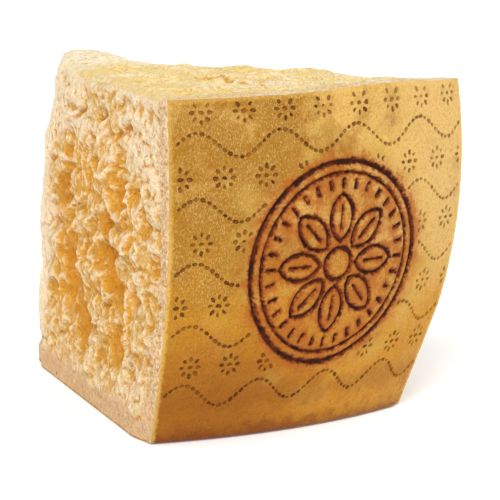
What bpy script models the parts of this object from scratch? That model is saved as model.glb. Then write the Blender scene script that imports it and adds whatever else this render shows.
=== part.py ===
"""A wedge of aged grating cheese, split from a drum-shaped wheel.

The wheel's axis stands upright. The rind's bulging side faces -Y, the two broken
sides run back from it to a narrow tip at +Y, and the top is where the wheel was
split across. The base is the wheel's own flat rind. The origin is the middle of
the box round the wedge, at the height of the base. Units are metres.
"""

import math

import bmesh
import bpy
from mathutils import Matrix, Vector, noise

MM = 0.001

# The wheel
BELLY_RADIUS = 210 * MM  # at its widest ring
BELLY_HEIGHT = 105 * MM  # of the widest ring above the base
BELLY_CURVE = 190 * MM  # radius of the side's curve, seen in section
HEEL_HEIGHT = 42 * MM  # below this the side runs straight in to the base
BASE_RADIUS = 181 * MM

# The wedge
CUT_HEIGHT = 132 * MM  # where the wheel was split across
HALF_ANGLE = math.radians(19.2)  # between the middle line and a broken side
TIP_BEHIND_AXIS = 3 * MM  # the broken sides meet this far behind the wheel's axis
TIP_SETBACK = 36 * MM  # how far the tip is broken back at the top
TIP_SETBACK_POWER = 2.6  # how quickly that dies away towards the base
TIP_SHORTEST = 4 * MM  # from where the sides would meet to the tip at the base
TIP_NOSE = 0.30  # the tip's middle stands out by this share of its length, in plan
FOOT_LEDGE = 3 * MM  # the cut rind at the foot stands out this far from the torn sides
FOOT_LEDGE_HEIGHT = 24 * MM  # and the sides run in from it over this height

# The rind, seen on the broken faces as a smooth band
SIDE_RIND = 9 * MM
BASE_RIND = 6.5 * MM
TOP_RIND = 11 * MM
BAND_FADE = 7 * MM  # over this the smooth band turns into broken paste
BAND_RAGGED, RAGGED_SIZE = 3 * MM, 11 * MM  # its edge wanders so far, over such lengths

# Broken edges are crumbled round by about these radii
TOP_EDGE_ROUND = 5 * MM
TIP_EDGE_ROUND = 9 * MM
TIP_TOP_ROUND = 9 * MM
ROUND_CUT = 0.293  # a rounded corner lies this share of its radius inside each face
EDGE_BLEND = 6 * MM  # crags of one face reach this far round onto the next

# Crags: (grain size, height) of the flat-faced chips and of the rounded lumps
COARSE_CHIPS = (19 * MM, 4.2 * MM)
FINE_CHIPS = (9.5 * MM, 2.6 * MM)
LUMPS = (6.5 * MM, 1.4 * MM)
TOP_CHIP_HEIGHT = 0.8  # chips on the top stand this share as high
CHIP_LEVEL_SPREAD, CHIP_TILT_SPREAD = 7.31, 5.17  # so that neighbours differ
DRIFT, DRIFT_SIZE = 4 * MM, 28 * MM  # the chips' edges wander so far, over such lengths
TIP_MARGIN = 17 * MM  # beside the tip the face is nearly smooth
TIP_ROUGHNESS = 0.25

# Cells of the lattice that the wedge is shaped from, and the share kept of its triangles
CELLS_ACROSS, CELLS_DEEP, CELLS_HIGH = 44, 96, 60
KEPT_SHARE = 0.21

# Each torn face has its own run of crags
LEFT_SEED, RIGHT_SEED, TOP_SEED = 3.0, 47.0, 81.0

# Hollows torn out of a broken side: distance from the axis, height above the base,
# half-width, half-height, depth and lean
HOLLOW_WOBBLE, WOBBLE_SIZE = 0.35, 9 * MM  # their edges wander by this share
LEFT_HOLLOWS = (
    (124 * MM, 55 * MM, 17 * MM, 13 * MM, 6.5 * MM, -0.9),
    (133 * MM, 47 * MM, 15 * MM, 8 * MM, 3.0 * MM, 0.0),
    (57 * MM, 49 * MM, 16 * MM, 19 * MM, 6.0 * MM, -0.2),
    (77 * MM, 28 * MM, 11 * MM, 14 * MM, 5.0 * MM, -0.2),
    (117 * MM, 76 * MM, 9 * MM, 8 * MM, 5.0 * MM, 0.0),
    (144 * MM, 89 * MM, 11 * MM, 8 * MM, 3.5 * MM, 0.3),
    (105 * MM, 98 * MM, 12 * MM, 5 * MM, 3.5 * MM, 0.4),
    (47 * MM, 80 * MM, 14 * MM, 9 * MM, 4.0 * MM, 0.2),
    (129 * MM, 29 * MM, 9 * MM, 11 * MM, 3.0 * MM, 0.0),
    (62 * MM, 98 * MM, 8 * MM, 4 * MM, 2.5 * MM, 0.3),
    (30 * MM, 37 * MM, 9 * MM, 4 * MM, 2.0 * MM, 0.0),
    (94 * MM, 47 * MM, 7 * MM, 5 * MM, 3.0 * MM, 0.0),
)
RIGHT_HOLLOWS = (
    (150 * MM, 66 * MM, 20 * MM, 12 * MM, 5.5 * MM, 0.5),
    (98 * MM, 84 * MM, 17 * MM, 11 * MM, 5.0 * MM, -0.4),
    (72 * MM, 41 * MM, 15 * MM, 15 * MM, 6.0 * MM, 0.1),
    (122 * MM, 34 * MM, 16 * MM, 8 * MM, 4.0 * MM, 0.3),
    (165 * MM, 100 * MM, 12 * MM, 8 * MM, 3.0 * MM, 0.0),
    (58 * MM, 92 * MM, 9 * MM, 8 * MM, 3.0 * MM, 0.2),
    (160 * MM, 36 * MM, 9 * MM, 9 * MM, 3.0 * MM, 0.0),
)
# Broad swells of the top: sideways, distance from the axis, half-sizes both ways, rise
TOP_SWELLS = (
    (3 * MM, 30 * MM, 26 * MM, 19 * MM, 4.6 * MM),
    (18 * MM, 66 * MM, 16 * MM, 18 * MM, -1.8 * MM),
    (52 * MM, 156 * MM, 20 * MM, 18 * MM, -2.4 * MM),
    (42 * MM, 124 * MM, 14 * MM, 14 * MM, 1.4 * MM),
    (-16 * MM, 96 * MM, 14 * MM, 22 * MM, -1.6 * MM),
    (-22 * MM, 150 * MM, 18 * MM, 20 * MM, 1.2 * MM),
)
RIM_SWELL = (math.radians(6.0), math.radians(7.0), 1.5 * MM)  # angle, half-width, rise
RIM_REACH = 40 * MM  # in from the rim, where the rim's own rise dies away

TOP_NORMAL = Vector((0.0, 0.0, 1.0))
TIP_NORMAL = Vector((0.0, 1.0, 0.0))


def clear_scene():
    """Removes whatever the startup file left."""
    for obj in list(bpy.data.objects):
        bpy.data.objects.remove(obj, do_unlink=True)


def smooth_step(low, high, value):
    """0 below low, 1 above high and a smooth rise between."""
    share = min(1.0, max(0.0, (value - low) / (high - low)))
    return share * share * (3.0 - 2.0 * share)


# ---- the wheel and the cut ----


def side_radius(height):
    """The wheel's outer radius: a straight heel, then the belly's curve."""
    if height < HEEL_HEIGHT:
        top_of_heel = side_radius(HEEL_HEIGHT)
        return BASE_RADIUS + (top_of_heel - BASE_RADIUS) * height / HEEL_HEIGHT
    rise = height - BELLY_HEIGHT
    return BELLY_RADIUS - BELLY_CURVE + math.sqrt(BELLY_CURVE**2 - rise**2)


def tip_length(height, across):
    """From where the broken sides would meet to where the tip really ends."""
    share = max(0.0, height / CUT_HEIGHT)
    length = TIP_SHORTEST + TIP_SETBACK * share**TIP_SETBACK_POWER
    return length * (1.0 - TIP_NOSE * (1.0 - (2.0 * across - 1.0) ** 2))


def wedge_point(across, deep, high):
    """The lattice point (0 to 1 each way) moved onto the plain wedge, axis at x = y = 0."""
    height = high * CUT_HEIGHT
    angle = (2.0 * across - 1.0) * HALF_ANGLE
    radius = side_radius(height)
    outer = Vector((radius * math.sin(angle), -radius * math.cos(angle), height))
    meeting = Vector((0.0, TIP_BEHIND_AXIS, height))
    reach = (outer - meeting).length
    start = tip_length(height, across) / reach
    return meeting + (outer - meeting) * (start + (1.0 - start) * deep)


class Place:
    """A point of the plain wedge and its distances to the faces round it."""

    def __init__(self, point, across):
        self.point = point
        self.radius = math.hypot(point.x, point.y)
        self.height = point.z
        self.under_side = side_radius(point.z) - self.radius
        self.from_top = CUT_HEIGHT - point.z
        back = Vector((point.x, point.y - TIP_BEHIND_AXIS, 0.0))
        self.from_left = abs(back.dot(side_normal(-1, point.z)))
        self.from_right = abs(back.dot(side_normal(1, point.z)))
        self.from_tip = back.length - tip_length(point.z, across)


def side_normal(hand, height):
    """Outward normal of a broken side, -1 for the left one and 1 for the right one."""
    radius = side_radius(height)
    along = math.atan2(
        radius * math.sin(HALF_ANGLE),
        radius * math.cos(HALF_ANGLE) + TIP_BEHIND_AXIS,
    )
    return Vector((hand * math.cos(along), math.sin(along), 0.0))


# ---- the broken surface ----


def chips(point, size, seed):
    """Flat facets, each at its own level and tilt, about -1 to 1."""
    place = point / size + Vector((seed, 2.0 * seed, 3.0 * seed))
    middle = noise.voronoi(place)[1][0]
    level = noise.noise(middle * CHIP_LEVEL_SPREAD)
    tilt = noise.noise_vector(middle * CHIP_TILT_SPREAD)
    return 1.2 * level + tilt.dot(place - middle)


def lumps(point, size, seed):
    """Rounded grains with creases between them, about -0.5 to 0.5."""
    place = point / size + Vector((seed, seed, seed))
    return 0.5 - noise.voronoi(place)[0][0]


def crags(point, seed):
    """Height of the torn paste at a point."""
    drift = noise.noise_vector(point / DRIFT_SIZE + Vector((seed, 0.0, 0.0)))
    moved = point + DRIFT * drift
    coarse_size, coarse_height = COARSE_CHIPS
    fine_size, fine_height = FINE_CHIPS
    lump_size, lump_height = LUMPS
    height = 0.5 * coarse_height * chips(moved, coarse_size, seed)
    height += 0.5 * fine_height * chips(moved, fine_size, seed + 11.0)
    return height + lump_height * lumps(moved, lump_size, seed + 23.0)


def hollow_depth(radius, height, hollows):
    """How deep the hollows have been torn out at this place of a broken side."""
    deepest = 0.0
    for at_radius, at_height, wide, tall, depth, lean in hollows:
        up = height - at_height
        out = radius - at_radius - lean * up
        wobble = HOLLOW_WOBBLE * noise.noise(Vector((radius, height, at_radius)) / WOBBLE_SIZE)
        reach = math.hypot(out / wide, up / tall) + wobble
        deepest = max(deepest, depth * (1.0 - smooth_step(0.35, 1.15, reach)))
    return deepest


def nearness(distance, reach):
    """1 on a face, dying away to 0 at this reach from it."""
    return 1.0 - smooth_step(0.0, reach, distance)


def tip_calm(place):
    """How rough the torn face is beside the tip, up to 1 away from it."""
    return TIP_ROUGHNESS + (1.0 - TIP_ROUGHNESS) * smooth_step(0.0, TIP_MARGIN, place.from_tip)


def inside_bands(place, side_band, base_band):
    """0 in the smooth bands of rind round a face and 1 in the torn paste."""
    ragged = BAND_RAGGED * noise.noise(place.point / RAGGED_SIZE)
    inside = smooth_step(side_band, side_band + BAND_FADE, place.under_side + ragged)
    return inside * smooth_step(base_band, base_band + BAND_FADE, place.height + ragged)


def foot_ledge(place):
    """How far the cut rind at the foot stands out from the torn sides."""
    out = FOOT_LEDGE * smooth_step(0.0, 2.0 * SIDE_RIND, place.under_side)
    out *= smooth_step(0.0, TIP_MARGIN, place.from_tip)
    return out * (1.0 - smooth_step(0.3 * FOOT_LEDGE_HEIGHT, FOOT_LEDGE_HEIGHT, place.height))


def torn_side_move(place, distance, normal, seed, hollows):
    """Move of a place that lies at this distance from one torn side."""
    height = tip_calm(place) * crags(place.point, seed)
    height -= hollow_depth(place.radius, place.height, hollows)
    height *= inside_bands(place, SIDE_RIND, BASE_RIND)
    return normal * (nearness(distance, EDGE_BLEND) * (height + foot_ledge(place)))


def top_swell(place):
    """Broad rise and fall of the top."""
    rise = 0.0
    for sideways, distance, half_x, half_y, height in TOP_SWELLS:
        far = ((place.point.x - sideways) / half_x) ** 2
        far += ((-place.point.y - distance) / half_y) ** 2
        rise += height * math.exp(-far)
    angle = math.atan2(place.point.x, -place.point.y)
    at_angle, half_angle, height = RIM_SWELL
    near_rim = nearness(place.under_side, RIM_REACH)
    return rise + height * near_rim * math.exp(-(((angle - at_angle) / half_angle) ** 2))


def top_move(place):
    """Move of a place on or near the top, which was split across the wheel."""
    height = TOP_CHIP_HEIGHT * tip_calm(place) * crags(place.point, TOP_SEED)
    height *= inside_bands(place, TOP_RIND, 0.0)
    return TOP_NORMAL * (nearness(place.from_top, EDGE_BLEND) * (height + top_swell(place)))


def crumbled_edge(first, second, first_normal, second_normal, radius):
    """Move that rounds off the edge between two faces, at these distances from them."""
    share = max(0.0, 1.0 - (first + second) / radius)
    return (first_normal + second_normal) * (-ROUND_CUT * radius * share * share)


def edges_move(place, left, right):
    """Move that rounds off the torn edges near a place."""
    inside = inside_bands(place, SIDE_RIND, BASE_RIND)
    tip_round = min(TIP_EDGE_ROUND, 0.45 * tip_length(place.height, 0.0))
    move = crumbled_edge(
        place.from_tip, place.from_top, TIP_NORMAL, TOP_NORMAL, TIP_TOP_ROUND
    )
    for distance, normal in ((place.from_left, left), (place.from_right, right)):
        move += inside * crumbled_edge(
            distance, place.from_top, normal, TOP_NORMAL, TOP_EDGE_ROUND
        )
        move += crumbled_edge(distance, place.from_tip, normal, TIP_NORMAL, tip_round)
    return move


def broken_move(place):
    """How far the torn surface lies from the plain wedge at a place on it."""
    left, right = side_normal(-1, place.height), side_normal(1, place.height)
    move = torn_side_move(place, place.from_left, left, LEFT_SEED, LEFT_HOLLOWS)
    move += torn_side_move(place, place.from_right, right, RIGHT_SEED, RIGHT_HOLLOWS)
    return move + top_move(place) + edges_move(place, left, right)


# ---- the solid ----


def lattice_cube():
    """A closed unit cube whose sides are cut into a grid of cells."""
    grid = bmesh.new()
    bmesh.ops.create_cube(grid, size=1.0, matrix=Matrix.Translation((0.5, 0.5, 0.5)))
    for axis, cells in enumerate((CELLS_ACROSS, CELLS_DEEP, CELLS_HIGH)):
        along = [
            edge
            for edge in grid.edges
            if abs(edge.verts[0].co[axis] - edge.verts[1].co[axis]) > 0.5
        ]
        bmesh.ops.subdivide_edges(
            grid, edges=along, cuts=cells - 1, use_grid_fill=True
        )
    return grid


def principled(name, colour, roughness):
    """A plain material of one colour and finish."""
    material = bpy.data.materials.new(name)
    material.use_nodes = True
    shader = material.node_tree.nodes["Principled BSDF"]
    shader.inputs["Base Color"].default_value = (*colour, 1.0)
    shader.inputs["Roughness"].default_value = roughness
    shader.inputs["Metallic"].default_value = 0.0
    return material


def shape_wedge(grid):
    """Moves the lattice onto the wedge, tears its broken faces and marks the rind's faces."""
    on_rind = {
        face
        for face in grid.faces
        if all(vert.co.y > 0.999 for vert in face.verts)
        or all(vert.co.z < 0.001 for vert in face.verts)
    }
    for vert in grid.verts:
        place = Place(wedge_point(*vert.co), vert.co.x)
        vert.co = place.point + broken_move(place)
        if place.height < 1e-6:
            vert.co.z = 0.0
    for face in grid.faces:
        face.material_index = 1 if face in on_rind else 0


def centre_on_box(grid):
    """Moves the wedge so that the middle of its box, at the base, is the origin."""
    for axis in (0, 1):
        spots = [vert.co[axis] for vert in grid.verts]
        middle = (min(spots) + max(spots)) / 2.0
        for vert in grid.verts:
            vert.co[axis] -= middle


def make_wedge(collection):
    """The cheese wedge as one closed solid."""
    grid = lattice_cube()
    shape_wedge(grid)
    centre_on_box(grid)
    bmesh.ops.reverse_faces(grid, faces=grid.faces)
    bmesh.ops.triangulate(grid, faces=grid.faces)
    mesh = bpy.data.meshes.new("cheese_wedge")
    grid.to_mesh(mesh)
    grid.free()
    mesh.materials.append(principled("broken_paste", (0.82, 0.60, 0.30), 0.6))
    mesh.materials.append(principled("golden_rind", (0.62, 0.34, 0.07), 0.45))
    mesh.shade_smooth()
    mesh.set_sharp_from_angle(angle=math.radians(35))
    wedge = bpy.data.objects.new("cheese_wedge", mesh)
    collection.objects.link(wedge)
    fewer = wedge.modifiers.new("fewer_triangles", "DECIMATE")
    fewer.ratio = KEPT_SHARE
    return wedge


def main():
    """Builds the wedge in its own collection."""
    clear_scene()
    collection = bpy.data.collections.new("hard_cheese_wedge")
    bpy.context.scene.collection.children.link(collection)
    make_wedge(collection)


main()
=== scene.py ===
"""Dresses a wedge of hard grating cheese: torn paste, golden rind, pricked pattern and burnt stamp.

The wheel's axis stands upright behind the tip. The rind's bulging side faces -Y and the tip +Y. Places
on the wedge are worked out in the wheel's own frame, whose axis is at x = y = 0, and then moved by
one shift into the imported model's frame. Units are metres.
"""

import logging
import math
from dataclasses import dataclass
from enum import Enum
from typing import Iterable, Sequence

import bmesh
import bpy
import numpy as np
from mathutils import Matrix, Vector, kdtree, noise


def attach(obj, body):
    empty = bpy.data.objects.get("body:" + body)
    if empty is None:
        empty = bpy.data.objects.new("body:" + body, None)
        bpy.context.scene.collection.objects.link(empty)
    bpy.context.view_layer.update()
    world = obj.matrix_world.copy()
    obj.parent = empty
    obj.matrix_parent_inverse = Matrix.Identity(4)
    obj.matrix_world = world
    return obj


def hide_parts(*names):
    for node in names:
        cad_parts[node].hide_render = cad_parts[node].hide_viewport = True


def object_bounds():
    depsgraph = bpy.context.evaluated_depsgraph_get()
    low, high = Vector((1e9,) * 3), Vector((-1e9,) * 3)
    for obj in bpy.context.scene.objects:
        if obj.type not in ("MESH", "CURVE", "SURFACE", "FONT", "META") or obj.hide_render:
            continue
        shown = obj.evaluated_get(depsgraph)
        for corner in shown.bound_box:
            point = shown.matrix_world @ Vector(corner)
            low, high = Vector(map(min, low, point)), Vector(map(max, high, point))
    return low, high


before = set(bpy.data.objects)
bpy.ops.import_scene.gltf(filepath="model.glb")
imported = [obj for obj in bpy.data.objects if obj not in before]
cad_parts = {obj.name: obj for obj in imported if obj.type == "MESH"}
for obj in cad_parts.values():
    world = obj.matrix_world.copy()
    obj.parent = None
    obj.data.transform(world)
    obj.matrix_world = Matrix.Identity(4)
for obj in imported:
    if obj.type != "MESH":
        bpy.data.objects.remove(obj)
CAD_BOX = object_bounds()

log = logging.getLogger("cheese")

MM = 0.001
NOISE_SEED = 8
NODE = "cheese_wedge"
BODY = "root"

Array = np.ndarray
Pair = tuple[float, float]
Triple = tuple[float, float, float]
Colour = Triple
Socket = bpy.types.NodeSocket


def srgb(red: int, green: int, blue: int) -> Colour:
    """A colour given as it looks on a screen, 0 to 255, as the linear light that a shader takes."""
    shares = (red / 255.0, green / 255.0, blue / 255.0)
    return tuple(c / 12.92 if c <= 0.04045 else ((c + 0.055) / 1.055) ** 2.4 for c in shares)


def smooth_step(low: float, high: float, value: Array) -> Array:
    """0 below low, 1 above high and a smooth rise between."""
    share = np.clip((value - low) / (high - low), 0.0, 1.0)
    return share * share * (3.0 - 2.0 * share)


def falling_step(low: float, high: float, value: Array) -> Array:
    """1 below low, 0 above high and a smooth fall between."""
    return 1.0 - smooth_step(low, high, value)


def nearness(distance: Array, reach: float) -> Array:
    """1 at no distance, dying away to 0 at this reach."""
    return falling_step(0.0, reach, distance)


def at_least(least: float, share: Array) -> Array:
    """A share from 0 to 1 squeezed into the run from this least to 1."""
    return least + (1.0 - least) * share


def turned(x: Array, y: Array, turn: Array) -> tuple[Array, Array]:
    """How far each place lies along a direction and beside it."""
    return x * np.cos(turn) + y * np.sin(turn), y * np.cos(turn) - x * np.sin(turn)


# ---- random surfaces ----


class Grain:
    """Seeded noise over flat places, each an N x 2 array in metres."""

    PAST_ZERO = 4096
    SPREAD = (73856093, 19349663, 83492791, 2654435761)
    STIR = 73244475
    WORD = 0xFFFFFFFF
    SHARES = 0x1000000
    BOWL_CURVES = (2.6, 4.6)
    BOWL_TILT = 2.4
    BOWL_MIDDLE = 0.45
    ROUND = tuple((dx, dy) for dx in (-1, 0, 1) for dy in (-1, 0, 1))

    def __init__(self, seed: int) -> None:
        """Keeps the seed that every random draw starts from."""
        self.seed = seed

    def draw(self, cells: Array, channel: int) -> Array:
        """A random share for each whole-numbered cell.

        Args:
            cells: N x 2 whole numbers.
            channel: which of a cell's many draws to give.

        Returns:
            N shares, from 0 up to 1.
        """
        at = cells.astype(np.int64) + self.PAST_ZERO
        by_x, by_y, by_seed, by_channel = self.SPREAD
        mixed = at[:, 0] * by_x ^ at[:, 1] * by_y
        mixed = (mixed ^ (self.seed * by_seed + channel * by_channel)) & self.WORD
        for _ in range(2):
            mixed = ((mixed ^ (mixed >> 16)) * self.STIR) & self.WORD
        return ((mixed ^ (mixed >> 16)) & (self.SHARES - 1)) / float(self.SHARES)

    def waves(self, place: Array, size: float) -> Array:
        """Smooth rolling noise, about -0.7 to 0.7, with features of this size.

        Args:
            place: N x 2 places in the surface's own plane.
            size: of the features.

        Returns:
            N heights.
        """
        at = place / size
        corner = np.floor(at)
        inside = at - corner
        fade = inside**3 * (inside * (inside * 6.0 - 15.0) + 10.0)
        total = np.zeros(len(place))
        for step in ((0, 0), (1, 0), (0, 1), (1, 1)):
            angle = 2.0 * math.pi * self.draw(corner + step, 1)
            slope, _ = turned(*(inside - step).T, angle)
            share_x = fade[:, 0] if step[0] else 1.0 - fade[:, 0]
            share_y = fade[:, 1] if step[1] else 1.0 - fade[:, 1]
            total += slope * share_x * share_y
        return total

    def layered(self, place: Array, size: float, layers: int) -> Array:
        """Rolling noise with finer noise of half the size and height on it, and so on.

        Args:
            place: N x 2 places in the surface's own plane.
            size: of the coarsest features.
            layers: how many there are.

        Returns:
            N heights, with the coarsest layer about -0.7 to 0.7.
        """
        total = np.zeros(len(place))
        for layer in range(layers):
            total += self.waves(place + 7.3 * layer * size, size / 2**layer) / 2**layer
        return total

    def warped(self, place: Array, size: float, reach: float) -> Array:
        """The places pushed about, so that what is drawn over them has wandering edges.

        Args:
            place: N x 2 places in the surface's own plane.
            size: of the wandering.
            reach: about how far the places are pushed.

        Returns:
            The pushed places, N x 2.
        """
        push_x = self.layered(place + 3.1 * size, size, 2)
        push_y = self.layered(place - 5.7 * size, size, 2)
        return place + reach * np.stack([push_x, push_y], axis=1)

    def scoops(self, place: Array, size: float, depth: float, uneven: float = 0.5) -> Array:
        """Shallow bowls side by side with sharp crests between them, as grains leave when they break out.

        Args:
            place: where, N x 2.
            size: about the width of a bowl.
            depth: of a middling bowl.
            uneven: how much deeper some bowls are than others, and how much they tilt.

        Returns:
            Height in metres, about 0 in the middle of the surface.
        """
        at = place / size
        cell = np.floor(at)
        lowest = np.full(len(place), math.inf)
        for step in self.ROUND:
            here = cell + step
            jitter = np.stack([self.draw(here, 2), self.draw(here, 3)], axis=1)
            away = at - here - 0.1 - 0.8 * jitter
            along, beside = turned(*away.T, math.pi * self.draw(here, 4))
            rise = self.BOWL_CURVES[0] * along**2 + self.BOWL_CURVES[1] * beside**2
            rise += uneven * (self.BOWL_TILT * (self.draw(here, 5) - 0.5) * along)
            rise += uneven * (self.BOWL_TILT * (self.draw(here, 6) - 0.5) * beside)
            lowest = np.minimum(lowest, rise + uneven * (self.draw(here, 7) - 0.5))
        return depth * (lowest - self.BOWL_MIDDLE)

    def grains(self, place: Array, size: float, height: float) -> Array:
        """Rounded grains pressed together, with narrow creases between them."""
        return -self.scoops(place, size, height, 0.8)


# ---- the shape of the wedge ----


@dataclass(frozen=True)
class Wheel:
    """The whole wheel that the wedge was split from."""

    belly_radius: float = 210 * MM
    belly_height: float = 105 * MM
    belly_curve: float = 190 * MM
    heel_height: float = 42 * MM
    base_radius: float = 181 * MM

    def belly(self, height: Array) -> Array:
        """The curved part's outer radius at these heights."""
        rise = np.asarray(height) - self.belly_height
        return self.belly_radius - self.belly_curve + np.sqrt(self.belly_curve**2 - rise**2)

    def side_radius(self, height: Array) -> Array:
        """The outer radius at these heights: a straight heel, then the belly's curve.

        Args:
            height: above the base.

        Returns:
            Radii in metres.
        """
        heel_top = self.belly(self.heel_height)
        heel = self.base_radius + (heel_top - self.base_radius) * np.asarray(height) / self.heel_height
        return np.where(np.asarray(height) < self.heel_height, heel, self.belly(height))


@dataclass(frozen=True)
class Cut:
    """How the wedge was split from the wheel, and its rounded and smooth places."""

    wheel: Wheel = Wheel()
    height: float = 132 * MM
    half_angle: float = math.radians(19.2)
    tip_behind_axis: float = 3 * MM
    tip_setback: float = 36 * MM
    tip_setback_power: float = 2.6
    tip_shortest: float = 4 * MM
    tip_nose: float = 0.30
    foot_ledge: float = 3 * MM
    foot_ledge_height: float = 24 * MM
    side_rind: float = 9 * MM
    base_rind: float = 6.5 * MM
    top_rind: float = 11 * MM
    band_fade: float = 7 * MM
    top_edge_round: float = 5 * MM
    tip_edge_round: float = 9 * MM
    tip_edge_share: float = 0.3
    tip_round_share: float = 0.45
    tip_top_round: float = 7 * MM
    round_cut: float = 0.293
    edge_blend: float = 6 * MM
    tip_margin: float = 17 * MM
    rim_swell: Triple = (math.radians(6.0), math.radians(7.0), 1.5 * MM)
    rim_reach: float = 40 * MM
    fray: float = 0.35 * MM
    fray_reach: float = 2.4 * MM
    fray_depth: float = 5 * MM
    fray_size: float = 4.0 * MM
    fray_size_top: float = 4.2 * MM
    fray_foot: float = 8 * MM
    fray_bias: float = 0.2
    tip_foot: float = 1.6 * MM
    tip_foot_height: float = 11 * MM
    top_swells: tuple[tuple[float, ...], ...] = (
        (3 * MM, 30 * MM, 26 * MM, 19 * MM, 4.6 * MM),
        (16 * MM, 72 * MM, 14 * MM, 16 * MM, -0.9 * MM),
        (57 * MM, 168 * MM, 18 * MM, 13 * MM, -2.4 * MM),
        (39 * MM, 114 * MM, 14 * MM, 14 * MM, 1.2 * MM),
        (-16 * MM, 96 * MM, 14 * MM, 22 * MM, -1.6 * MM),
        (-22 * MM, 150 * MM, 18 * MM, 20 * MM, 1.2 * MM),
    )

    def tip_length(self, height: Array, across: Array) -> Array:
        """From where the torn sides would meet to where the tip really ends.

        Args:
            height: above the base.
            across: 0 at the left side and 1 at the right one.

        Returns:
            Lengths in metres.
        """
        share = np.clip(height / self.height, 0.0, None)
        length = self.tip_shortest + self.tip_setback * share**self.tip_setback_power
        return length * (1.0 - self.tip_nose * (1.0 - (2.0 * across - 1.0) ** 2))

    def points(self, lattice: Array) -> Array:
        """The lattice's places, 0 to 1 across, deep and high, moved onto the plain wedge.

        Args:
            lattice: N x 3 places of the lattice, 0 to 1.

        Returns:
            N x 3 points in the wheel's own frame.
        """
        across, deep, high = lattice.T
        height = high * self.height
        angle = (2.0 * across - 1.0) * self.half_angle
        radius = self.wheel.side_radius(height)
        outer = np.stack([radius * np.sin(angle), -radius * np.cos(angle), height], axis=1)
        meeting = np.stack([0.0 * height, 0.0 * height + self.tip_behind_axis, height], axis=1)
        along = outer - meeting
        start = self.tip_length(height, across) / np.linalg.norm(along, axis=1)
        return meeting + along * (start + (1.0 - start) * deep)[:, None]


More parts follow.
